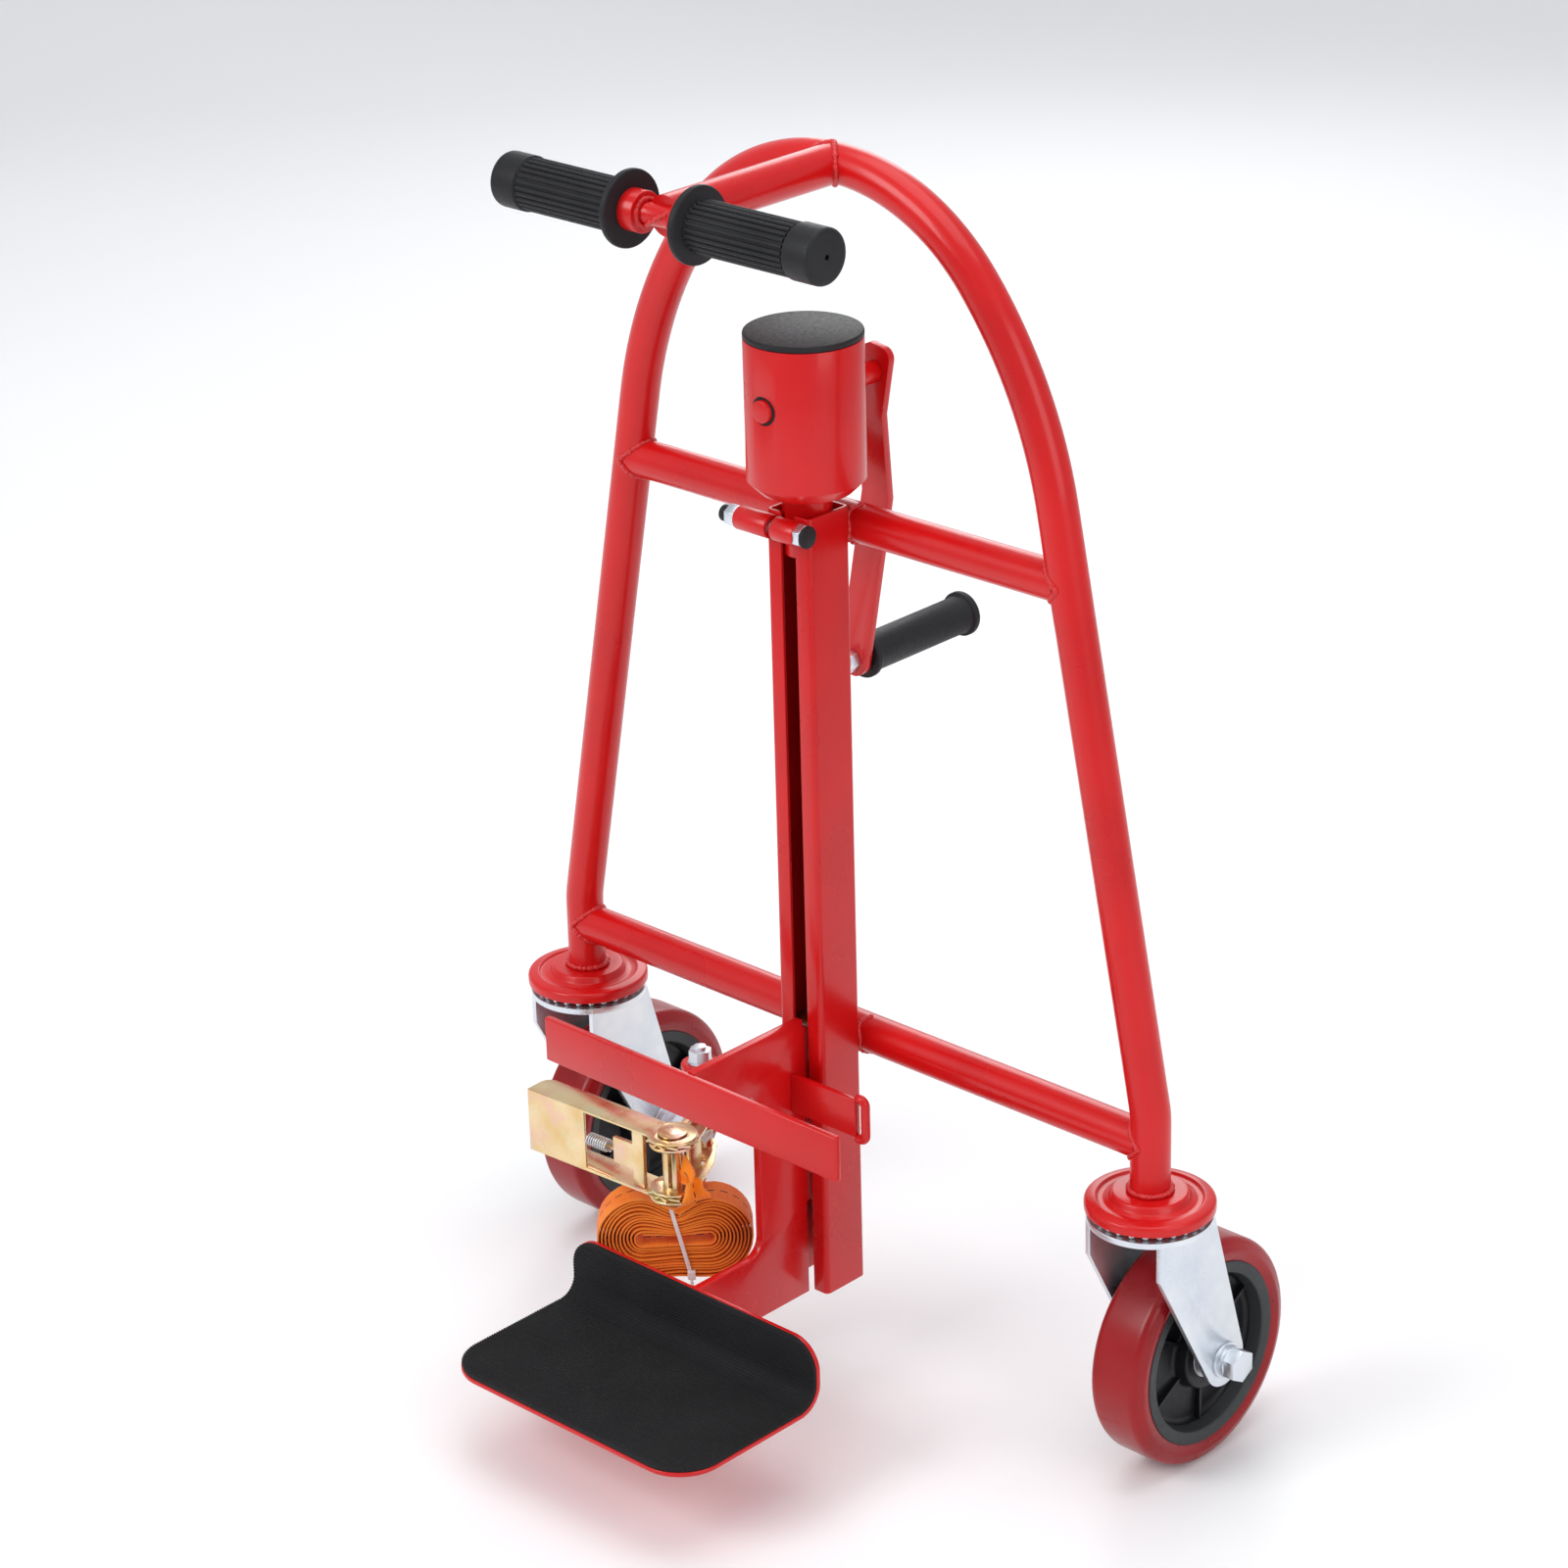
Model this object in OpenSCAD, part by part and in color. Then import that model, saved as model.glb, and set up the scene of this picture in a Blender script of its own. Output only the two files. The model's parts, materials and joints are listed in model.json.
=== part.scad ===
// Hand-cranked lifting dolly: one tall unit on two swivel casters.
// X along the crossbars, -Y the load side, +Z up, floor at z = 0.

/* [Overall] */
// Height of the hoop's highest point, on the tube's centreline
frame_height = 800; // [640:1:960]
// Distance between the two caster swivel axes
track = 488; // [400:1:600]
// Caster wheel diameter
wheel_d = 150; // [120:1:180]
// Height of the toe plate's underside at rest
lift = 60; // [45:1:80]

/* [Hoop] */
// Outer diameter of the frame tube
tube_d = 25; // [20:0.5:30]
// Wall of the frame tube
tube_wall = 2; // [1.5:0.1:3]
// Centreline radius of the crown arc
crown_r = 145; // [115:1:175]
// Half the angle that the crown arc covers
crown_half = 50; // [40:1:55]
// Centreline radius of the two shoulder arcs
shoulder_r = 280; // [230:1:330]
// Centreline radius of the bend above each caster
foot_bend_r = 60; // [50:1:72]
// Distance from the hoop's top down to the upper crossbar
upper_bar_drop = 222.5; // [205:0.5:260]
// Height of the lower crossbar above the legs' feet
lower_bar_rise = 31; // [24:0.5:38]

/* [Carry handle] */
// Distance from the hoop to the cross rod
handle_reach = 143.5; // [115:0.5:175]
// Cross rod diameter
rod_d = 13; // [10:0.5:15]
// Clear half gap between the two handle tubes
rod_half = 14; // [11:0.5:17]
// Length of each rubber grip
grip_len = 102; // [85:1:122]
// Diameter of the grip's ribbed body
grip_d = 31; // [29:0.5:37]
// Diameter of the grip's plain end
grip_end_d = 33.5; // [30:0.5:40]
// Length of the grip's plain end
grip_end_len = 20; // [16:0.5:24]
// Diameter of the grip's inner flange
grip_flange_d = 46.5; // [39:0.5:56]
// Thickness of the grip's inner flange
grip_flange_t = 4; // [3:0.25:5]

/* [Column] */
// Width of the square column
col_w = 36; // [32:0.5:43]
// Wall of the column
col_wall = 2.5; // [2:0.1:3]
// Width of the slot down the column's load side
col_slot = 12; // [10:0.5:14]
// Outside corner radius of the column
col_corner = 3.5; // [3:0.25:5]
// Height of the column's open foot
col_bottom = 62; // [50:1:74]
// Height of the column's top above the upper crossbar's centre
col_over = 15.5; // [14:0.5:19]

/* [Gear housing] */
// Outer diameter of the gear housing
housing_d = 73; // [70:0.5:88]
// Wall of the gear housing
housing_wall = 4; // [3:0.25:4.5]
// Gap between the column's top and the housing's floor
housing_gap = 12; // [10:0.5:14.5]
// Height of the housing body
housing_h = 96; // [90:1:115]
// Bevel around the housing's bottom edge
housing_bevel = 7.5; // [6:0.25:9]
// Thickness of the black cap
cap_t = 4; // [3:0.25:5]
// Height of the crank axis above the housing's floor
crank_rise = 58; // [54:0.5:62]
// Length of spigot held inside the column
spigot_len = 28; // [22:0.5:34]

/* [Clamp] */
// Diameter of the two clamp bosses
clamp_d = 15; // [13:0.5:18]
// Clamp bolt diameter
clamp_bolt_d = 8; // [6:0.5:9]
// Length of the left boss
clamp_left = 26.5; // [22:0.5:32]
// Length of the right boss
clamp_right = 18.5; // [15:0.5:22]

/* [Crank] */
// Distance between the crank axis and the grip bolt
crank_r = 207; // [172:1:249]
// Angle at which the crank hangs, toward -X
crank_turn = 10.5; // [0:0.5:30]
// Width of the crank arm
arm_w = 22; // [18:0.5:27]
// Thickness of the crank arm
arm_t = 5; // [4:0.25:6]
// Crank shaft diameter
shaft_d = 14; // [11.5:0.5:15]
// Distance from the housing's wall to the arm
arm_gap = 24.5; // [20:0.5:30]
// Sideways step of the arm
arm_step = 17; // [14:0.5:20]
// Length of the turning grip
spin_grip_len = 98; // [80:1:118]
// Diameter of the turning grip
spin_grip_d = 25; // [22:0.5:30]
// Diameter of the turning grip's two end beads
spin_bead_d = 29.5; // [26:0.5:35]
// Grip bolt diameter
spin_bolt_d = 8; // [6.5:0.5:9.5]

/* [Lead screw] */
// Outer diameter of the lead screw
screw_d = 16; // [14:0.5:18]
// Diameter of the screw's upper journal
journal_d = 12; // [10:0.5:13]
// Height of the screw's lower end above the column's foot
screw_foot = 20; // [10:1:24]
// Pitch radius of the gear on the screw
screw_gear_r = 11; // [9.5:0.25:12]
// Pitch radius of the gear on the crank shaft
crank_gear_r = 22; // [19:0.25:24]

/* [Carriage] */
// Thickness of the upright gusset plate
gusset_t = 6; // [5:0.25:7]
// Height of the gusset plate
gusset_h = 196; // [165:1:235]
// Distance the gusset stands out from the column
gusset_reach = 101.5; // [85:0.5:121]
// Width of the gusset's upright web
web_w = 43; // [36:0.5:51]
// Height of the gusset's upper arm
upper_arm = 35; // [30:0.5:42]
// Height of the gusset's lower arm
lower_arm = 45; // [38:0.5:54]
// Width of the load bar
bar_w = 250; // [210:1:300]
// Height of the load bar
bar_h = 30; // [25:0.5:36]
// Thickness of the load bar
bar_t = 5; // [4:0.25:6]
// Width of the toe plate
toe_w = 213; // [178:1:255]
// Depth of the toe plate, back to front
toe_len = 122; // [102:1:146]
// Toe plate thickness
toe_t = 3; // [2.5:0.1:4]
// Rubber mat thickness
mat_t = 2; // [1.5:0.1:2.5]
// Radius of the toe plate's two front corners
toe_corner = 30; // [20:1:36]
// Inside radius of the bend at the toe plate's back
toe_bend = 15; // [12:0.5:18]
// Height of the toe plate's turned-up back edge
curl_h = 46; // [39:0.5:55]
// Radius of the turned-up edge's two upper corners
curl_corner = 20; // [14:0.5:24]

/* [Strap ratchet] */
// Distance of the ratchet bolt from the gusset's middle
ear_out = 66; // [60:0.5:78]
// Distance of the ratchet bolt in front of the column
ear_fwd = 24.5; // [21:0.5:29]
// Width of the ear
ear_w = 25; // [22:0.5:30]
// Ratchet bolt diameter
ratchet_bolt_d = 8; // [6.5:0.5:9]
// Distance between the ratchet bolt and the spool
ratchet_len = 57.7; // [55:0.1:66]
// Clear width between the ratchet's side plates
ratchet_gap = 30; // [28:0.5:36]
// Thickness of the ratchet's plates
ratchet_t = 2; // [1.6:0.1:2.4]
// Spool diameter
spool_d = 14; // [12:0.5:16]
// Tip diameter of the toothed wheels
tooth_d = 34; // [32:0.5:34.5]
// Length of the ratchet's handle
lever_len = 115; // [105:1:125]
// Angle between the open handle and the ratchet's tail
lever_open = 67.5; // [58:0.5:90]
// Webbing width
webbing_w = 25; // [20:0.5:27]
// Length of the folded strap bundle
bundle_len = 104; // [88:1:108]
// Height of the folded strap bundle
bundle_h = 62; // [52:1:66]

/* [Casters] */
// Wheel width
wheel_w = 40; // [33:0.5:46]
// Trail of the wheel behind the swivel axis
trail = 38.5; // [32:0.5:46]
// Thickness of the tread
tread_t = 14; // [11:0.5:17]
// Gap between the tread and the fork's crown
crown_gap = 30; // [24:0.5:36]
// Thickness of the fork's sheet
fork_t = 3.5; // [3:0.1:4.2]
// Diameter of the fork's crown
crown_d = 78; // [70:0.5:86]
// Diameter of the race plate
race_d = 81; // [76:0.5:92]
// Axle bolt diameter
axle_d = 12; // [10:0.5:14]

/* [Hidden] */
$fn = 64;
eps = 0.01;
run = 0.05;      // radial clearance of a running fit
rt = tube_d / 2;

// caster heights
axle_z = wheel_d / 2;
crown_z = wheel_d + crown_gap;
crown_top = crown_z + 4;
ball_d = 5.2;
race_z = crown_top + ball_d + 0.3;
boss_r = 23;
foot_z = race_z + 11.5;

// hoop
c1z = frame_height - crown_r;
c2x = -(shoulder_r - crown_r) * sin(crown_half);
c2z = c1z - (shoulder_r - crown_r) * cos(crown_half);
px = track / 2;
lower_z = foot_z + lower_bar_rise;
// the bend starts just above the lower crossbar; its centre is (bcx, bcz)
bcx = px - foot_bend_r;
bcz = lower_z + rt + 1;
// angle from +Z at which the straight leg leaves the shoulder arc: the common outer tangent of two arcs
pd = norm([bcx - c2x, bcz - c2z]);
leave = atan2(bcx - c2x, bcz - c2z) - acos((shoulder_r - foot_bend_r) / pd);
lean = 90 - leave;
tx = c2x + shoulder_r * sin(leave);
tz = c2z + shoulder_r * cos(leave);
bx = bcx + foot_bend_r * cos(lean);
bz = bcz + foot_bend_r * sin(lean);
leg_len = norm([tx - bx, tz - bz]);
upper_z = frame_height - upper_bar_drop;
upper_x = tx + (tz - upper_z) * tan(lean);

// column and housing
y0 = -rt - col_w / 2;
yf = -rt - col_w;
col_in = col_w - 2 * col_wall;
col_top = upper_z + col_over;
floor_z = col_top + housing_gap;
hin_z = floor_z + 8;
htop = floor_z + housing_h;
hr = housing_d / 2;
hri = hr - housing_wall;
crank_z = floor_z + crank_rise;
spigot_r = col_in / 2 - 0.1;
bush_r = min(11, spigot_r - 2.5);

// clamp
clamp_z = col_top - clamp_d / 2;
clamp_y = yf - clamp_d / 2 + 1;
clamp_xl = -col_slot / 2 - 0.5;
clamp_xr = -2.5;

// crank, measured outward from the column's axis
arm_y = y0 + hr + arm_gap;
arm_y2 = arm_y + arm_step;
grip_y = arm_y2 + arm_t + 3;
shaft_tail = y0 - hr - 2.2;

// handle
collar_x = max(rod_half, rt + 1.5);
grip_x = collar_x + 11;
rod_y = -handle_reach;

// carriage
gz0 = lift;
gz1 = lift + gusset_h;
gy1 = yf - gusset_reach;
block_front = y0 - col_in / 2 + 0.9;
block_half = col_in / 2 - 0.6;
block_z0 = lift + 66;
block_z1 = gz1 - 6;
web_y = yf - web_w;
toe_y1 = gy1 - toe_len;
mat_z = lift + toe_t + mat_t;

// ratchet, in its own frame: u toward the tail bolt, v toward the lever
rz = lift + 108.5;
rb = [-ear_out, yf - ear_fwd];
aim = 115.7;
sp = [rb[0] - ratchet_len * cos(aim), rb[1] - ratchet_len * sin(aim)];
hz = ratchet_gap / 2;
g = 0.5;
z_frame = hz;
z_wheel = z_frame + ratchet_t + g;
z_lever = z_wheel + ratchet_t + g;
z_clip = z_lever + ratchet_t + g;
lever_ang = aim + lever_open;
lock_ang = -12;
pawl_in = tooth_d / 2 + 0.9;
ear_z = rz + hz + ratchet_t + 22.5;

// strap bundle
bun = [sp[0] - 22, sp[1] + 21.5, lift + 44.5];
lobe_r = bundle_h / 2;
lobe_x = bundle_len / 2 - lobe_r;

// caster
fork_in = wheel_w / 2 + 6;
hub_r = wheel_d / 2 - tread_t;
sleeve_r = axle_d / 2 + 2;
tip_r = axle_d / 2 + 12;
tread_edge = 0.85 * tread_t;
out = fork_in + fork_t + 2;

// origin: middle of the footprint, front of the toe plate to end of the crank grip
y_rear = max(grip_y + spin_grip_len, trail + wheel_d / 2);
origin_y = (toe_y1 + y_rear) / 2;

module place() { translate([0, -origin_y, 0]) children(); }

function turn(a) = [cos(a), sin(a)];
// tangent point of a line from p to the circle (c, r), on side s
function touch(p, c, r, s) =
    let (v = p - c, b = atan2(v[1], v[0]), q = acos(r / norm(v)))
    c + r * turn(b + s * q);

module along_x(x0, x1, d, fn = 64) { translate([x0, 0, 0]) rotate([0, 90, 0]) cylinder(h = x1 - x0, d = d, $fn = fn); }
module along_y(yy0, yy1, d, fn = 64) { translate([0, yy1, 0]) rotate([90, 0, 0]) cylinder(h = yy1 - yy0, d = d, $fn = fn); }
module tube_z(h, d, di) { difference() { cylinder(h = h, d = d); translate([0, 0, -1]) cylinder(h = h + 2, d = di); } }
module hex(h, af) { cylinder(h = h, d = af / cos(30), $fn = 6); }
module round_rect(w, h, r) {
    union() {
        square([w - 2 * r, h], center = true);
        square([w, h - 2 * r], center = true);
        for (x = [-1, 1], y = [-1, 1]) translate([x * (w / 2 - r), y * (h / 2 - r)]) circle(r);
    }
}

// ---- frame ----
// the hoop lies in the XZ plane: arcs and straights, with a short sleeve over each joint
module ring2(ro, ri) { difference() { circle(ro); if (ri > 0) circle(ri); } }
module arc(cx, cz, r, a0, a1, ro, ri) {
    rotate([90, 0, 0]) translate([cx, cz, 0]) rotate([0, 0, a0]) rotate_extrude(angle = a1 - a0, $fn = 120) translate([r, 0]) ring2(ro, ri);
}
module straight(x, z, a, d0, d1, ro, ri) {
    rotate([90, 0, 0]) translate([x, z, 0]) rotate([0, 0, a]) rotate([-90, 0, 0]) translate([0, 0, d0]) linear_extrude(d1 - d0) ring2(ro, ri);
}
module joint_sleeve(x, z, a) { straight(x, z, a, -0.6, 0.6, rt + 0.1, rt - tube_wall - 0.1); }
module half_hoop() {
    nip = 0.05;
    arc(c2x, c2z, shoulder_r, 90 - leave + nip, 90 - crown_half - nip, rt, rt - tube_wall);
    straight(bx, bz, lean, 0.2, leg_len - 0.2, rt, rt - tube_wall);
    arc(bcx, bcz, foot_bend_r, 4 * nip, lean - 4 * nip, rt, rt - tube_wall);
    straight(px, foot_z, 0, 0, bcz - foot_z - 0.2, rt, rt - tube_wall);
    joint_sleeve(crown_r * sin(crown_half), c1z + crown_r * cos(crown_half), 90 - crown_half);
    joint_sleeve(tx, tz, lean);
    joint_sleeve(bx, bz, lean);
    joint_sleeve(px, bcz, 0);
}
module crown_arc(ro, ri) { arc(0, c1z, crown_r, 90 - crown_half + 0.05, 90 + crown_half - 0.05, ro, ri); }
module hoop_frame() {
    color("red") place() union() {
        crown_arc(rt, rt - tube_wall);
        half_hoop();
        mirror([1, 0, 0]) half_hoop();
    }
}

module bar_between(x, z) {
    translate([0, 0, z]) difference() {
        along_x(-x, x, tube_d);
        along_x(-x - 1, x + 1, tube_d - 2 * tube_wall);
    }
}
module upper_crossbar() {
    color("firebrick") place() difference() {
        bar_between(upper_x, upper_z);
        for (m = [0, 1]) mirror([m, 0, 0]) straight(bx, bz, lean, leg_len / 3, leg_len + 25, rt + 0.04, 0);
    }
}
module lower_crossbar() {
    color("firebrick") place() difference() {
        bar_between(px, lower_z);
        for (s = [-1, 1]) translate([s * px, 0, foot_z]) cylinder(h = 80, r = rt);
    }
}

// ---- carry handle ----
module handle_stem() {
    color("indianred") place() difference() {
        translate([0, 0, frame_height]) difference() {
            along_y(rod_y + 1.5, 0, tube_d);
            along_y(rod_y, 1, tube_d - 2 * tube_wall);
        }
        arc(0, c1z, crown_r, 80, 100, rt, 0);
        translate([0, rod_y, frame_height]) along_x(-30, 30, rod_d);
    }
}
module handle_bar() {
    color("tomato") place() translate([0, rod_y, frame_height]) {
        along_x(-collar_x - 3, collar_x + 3, rod_d);
        for (s = [0, 1]) mirror([s, 0, 0]) difference() {
            along_x(collar_x, grip_x + grip_len - 5, tube_d);
            along_x(collar_x + 3, grip_x + grip_len, tube_d - 2 * tube_wall);
            along_x(collar_x - 1, collar_x + 3.5, rod_d);
        }
    }
}
module grip() {
    translate([0, rod_y, frame_height]) difference() {
        union() {
            along_x(grip_x, grip_x + grip_flange_t, grip_flange_d);
            along_x(grip_x, grip_x + grip_len, grip_d);
            along_x(grip_x + grip_len - grip_end_len, grip_x + grip_len, grip_end_d);
        }
        along_x(grip_x - 1, grip_x + grip_len - 5, tube_d);
        along_x(grip_x, grip_x + grip_len + 1, 3);
    }
}
module left_grip() { color("dimgray") place() mirror([1, 0, 0]) grip(); }
module right_grip() { color("dimgray") place() grip(); }

// ---- column and gear housing ----
module column() {
    color("crimson") place() translate([0, y0, col_bottom]) linear_extrude(col_top - col_bottom) difference() {
        round_rect(col_w, col_w, col_corner);
        round_rect(col_in, col_in, 1);
        translate([-col_slot / 2, -col_w]) square([col_slot, col_w]);
    }
}
module gear_housing() {
    color("red") place() translate([0, y0, 0]) difference() {
        rotate_extrude() polygon([
            [bush_r, col_top - spigot_len], [spigot_r, col_top - spigot_len], [spigot_r, floor_z],
            [hr - housing_bevel, floor_z], [hr, floor_z + housing_bevel], [hr, htop],
            [hri, htop], [hri, hin_z], [bush_r, hin_z]]);
        translate([0, 0, crank_z]) along_y(-hr - 2, hr + 2, shaft_d + 4);
    }
}
module housing_cap() {
    color("dimgray") place() translate([0, y0, htop]) {
        cylinder(h = cap_t, r = hr);
        translate([0, 0, -5]) tube_z(5, 2 * hri - 0.2, 2 * hri - 5);
    }
}
module clamp_bosses() {
    color("brown") place() difference() {
        translate([0, clamp_y, clamp_z]) {
            along_x(clamp_xl - clamp_left, clamp_xl, clamp_d);
            along_x(clamp_xr, clamp_xr + clamp_right, clamp_d);
        }
        translate([-col_w, yf, col_bottom]) cube([2 * col_w, col_w, col_top]);
        translate([0, clamp_y, clamp_z]) along_x(-60, 60, clamp_bolt_d + 0.4);
    }
}
module clamp_bolt() {
    color("silver") place() translate([0, clamp_y, clamp_z]) {
        along_x(clamp_xl - clamp_left - 11, clamp_xr + clamp_right, clamp_bolt_d);
        translate([clamp_xl - clamp_left - 7.5, 0, 0]) rotate([0, 90, 0]) difference() {
            hex(7.5, clamp_bolt_d + 5);
            translate([0, 0, -1]) cylinder(h = 10, d = clamp_bolt_d);
        }
        translate([clamp_xr + clamp_right, 0, 0]) rotate([0, 90, 0]) hex(5.3, clamp_bolt_d + 5);
    }
}
module clamp_caps() {
    xl = clamp_xl - clamp_left - 7.5;
    xr = clamp_xr + clamp_right + 5.3;
    color("black") place() translate([0, clamp_y, clamp_z]) {
        difference() {
            along_x(xl - 6, xl, clamp_bolt_d + 2.5);
            along_x(xl - 3.5, xl + 1, clamp_bolt_d);
        }
        along_x(xr, xr + 2.5, clamp_d - 1);
    }
}
module shaft_bushes() {
    color("goldenrod") place() translate([0, y0, crank_z]) for (s = [0, 1]) mirror([0, s, 0]) difference() {
        along_y(hri - 5, hr - 1.4, shaft_d + 4);
        along_y(hri - 6, hr, shaft_d + 2 * run);
    }
}
module screw_bearings() {
    color("goldenrod") place() translate([0, y0, 0]) {
        translate([0, 0, col_top + 1]) tube_z(hin_z - col_top - 1, 2 * bush_r, journal_d + 2 * run);
        translate([0, 0, hin_z]) tube_z(5, journal_d + 14, journal_d + 2 * run);
    }
}

// ---- lead screw ----
cone = atan2(screw_gear_r, crank_gear_r);
cone_l = norm([screw_gear_r, crank_gear_r]);
cone_k = (cone_l - 7) / cone_l;
module lead_screw() {
    color("lightgray") place() translate([0, y0, 0]) {
        translate([0, 0, col_bottom + screw_foot]) cylinder(h = col_top - col_bottom - screw_foot, d = screw_d);
        translate([0, 0, col_top]) cylinder(h = crank_z - crank_gear_r * cone_k - col_top, d = journal_d);
    }
}
module screw_gear() {
    color("darkgray") place() translate([0, y0, 0]) difference() {
        union() {
            translate([0, 0, hin_z + 5.3]) cylinder(h = crank_z - crank_gear_r - hin_z - 5.3, r = screw_gear_r - 0.15);
            translate([0, 0, crank_z - crank_gear_r]) cylinder(h = crank_gear_r * (1 - cone_k), r1 = screw_gear_r - 0.15, r2 = screw_gear_r * cone_k - 0.15);
        }
        translate([0, 0, hin_z]) cylinder(h = 80, d = journal_d);
    }
}

// ---- crank ----
module crank_place() { place() translate([0, 0, crank_z]) rotate([0, crank_turn, 0]) children(); }
module crank_shaft() { color("brown") crank_place() along_y(shaft_tail, arm_y, shaft_d); }
module crank_gear() {
    color("darkgray") crank_place() translate([0, y0, 0]) difference() {
        union() {
            translate([0, screw_gear_r, 0]) rotate([90, 0, 0]) cylinder(h = screw_gear_r * (1 - cone_k), r1 = crank_gear_r - 0.15, r2 = crank_gear_r * cone_k - 0.15);
            along_y(screw_gear_r, screw_gear_r + 3, 2 * crank_gear_r - 0.3);
            along_y(screw_gear_r, hri - 6, shaft_d + 10);
        }
        along_y(-5, hr, shaft_d);
    }
}
module crank_arm() {
    color("orangered") crank_place() intersection() {
        // side profile, drawn in Y and Z
        rotate([90, 0, 90]) translate([0, 0, -arm_w]) linear_extrude(2 * arm_w) polygon([
            [arm_y, 18], [arm_y, -27], [arm_y2, -90], [arm_y2, -crank_r - 20],
            [arm_y2 + arm_t, -crank_r - 20], [arm_y2 + arm_t, -90 + arm_t * 0.27], [arm_y + arm_t, -27 + arm_t * 0.27], [arm_y + arm_t, 18]]);
        // front outline, drawn in X and Z
        translate([0, arm_y2 + 2 * arm_t, 0]) rotate([90, 0, 0]) linear_extrude(arm_step + 4 * arm_t) difference() {
            union() {
                translate([-arm_w / 2, -crank_r]) square([arm_w, crank_r + 10]);
                translate([-arm_w / 2 + 5, 0]) square([arm_w - 10, 17]);
                for (s = [-1, 1]) translate([s * (arm_w / 2 - 7), 10]) circle(7);
                translate([0, -crank_r]) circle(d = arm_w);
            }
            translate([0, -crank_r]) circle(d = spin_bolt_d);
        }
    }
}
module crank_bolt() {
    color("silver") crank_place() translate([0, 0, -crank_r]) {
        along_y(arm_y2 - 9, grip_y + spin_grip_len - 4, spin_bolt_d);
        translate([0, arm_y2, 0]) rotate([90, 0, 0]) difference() { hex(6.5, spin_bolt_d + 5); translate([0, 0, -1]) cylinder(h = 9, d = spin_bolt_d); }
        translate([0, arm_y2 + arm_t + 2.8, 0]) rotate([90, 0, 0]) difference() { cylinder(h = 2.8, d = spin_bolt_d + 6); translate([0, 0, -1]) cylinder(h = 9, d = spin_bolt_d); }
        translate([0, grip_y + spin_grip_len - 2.2, 0]) rotate([90, 0, 0]) hex(5.3, spin_bolt_d + 5);
    }
}
module crank_grip() {
    color("black") crank_place() translate([0, 0, -crank_r]) difference() {
        union() {
            along_y(grip_y, grip_y + spin_grip_len, spin_grip_d);
            along_y(grip_y, grip_y + 5, spin_bead_d);
            along_y(grip_y + spin_grip_len - 5, grip_y + spin_grip_len, spin_bead_d);
        }
        along_y(grip_y - 1, grip_y + spin_grip_len, spin_bolt_d + 2 * run);
        along_y(grip_y + spin_grip_len - 8, grip_y + spin_grip_len + 1, spin_bolt_d + 11);
    }
}

// ---- carriage ----
module slide_block() {
    color("darkkhaki") place() difference() {
        translate([-block_half, block_front, block_z0]) cube([2 * block_half, 2 * (y0 - block_front), block_z1 - block_z0]);
        translate([0, y0, block_z0 - 1]) cylinder(h = gz1, d = screw_d + 3);
        translate([0, y0, block_z1 - 26]) cylinder(h = 40, d = screw_d + 9);
    }
}
module lift_nut() { color("gold") place() translate([0, y0, block_z1 - 26]) tube_z(26, screw_d + 9, screw_d + 2 * run); }
module gusset_plate() {
    iy = web_y;
    color("maroon") place() rotate([90, 0, 90]) translate([0, 0, -gusset_t / 2]) linear_extrude(gusset_t) difference() {
        union() {
            translate([gy1, gz0]) square([yf - gy1 - 1, gusset_h]);
            translate([yf - 2, block_z0]) square([block_front - yf + 2, block_z1 - block_z0]);
        }
        // window between the arms, open toward the load
        translate([gy1 - 1, gz0 + lower_arm]) square([iy - gy1 + 1 - 12, gusset_h - upper_arm - lower_arm]);
        translate([gy1, gz0 + lower_arm + 12]) square([iy - gy1, gusset_h - upper_arm - lower_arm - 24]);
        for (z = [gz0 + lower_arm + 12, gz1 - upper_arm - 12]) translate([iy - 12, z]) circle(12);
        // the upper arm stops behind the load bar
        translate([gy1 - 1, gz1 - upper_arm - 1]) square([bar_t - 2 + 1, upper_arm + 2]);
    }
}
module load_bar() {
    color("orangered") place() translate([-bar_w / 2, gy1 - 2, gz1 - 1 - bar_h]) cube([bar_w, bar_t, bar_h]);
}
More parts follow.
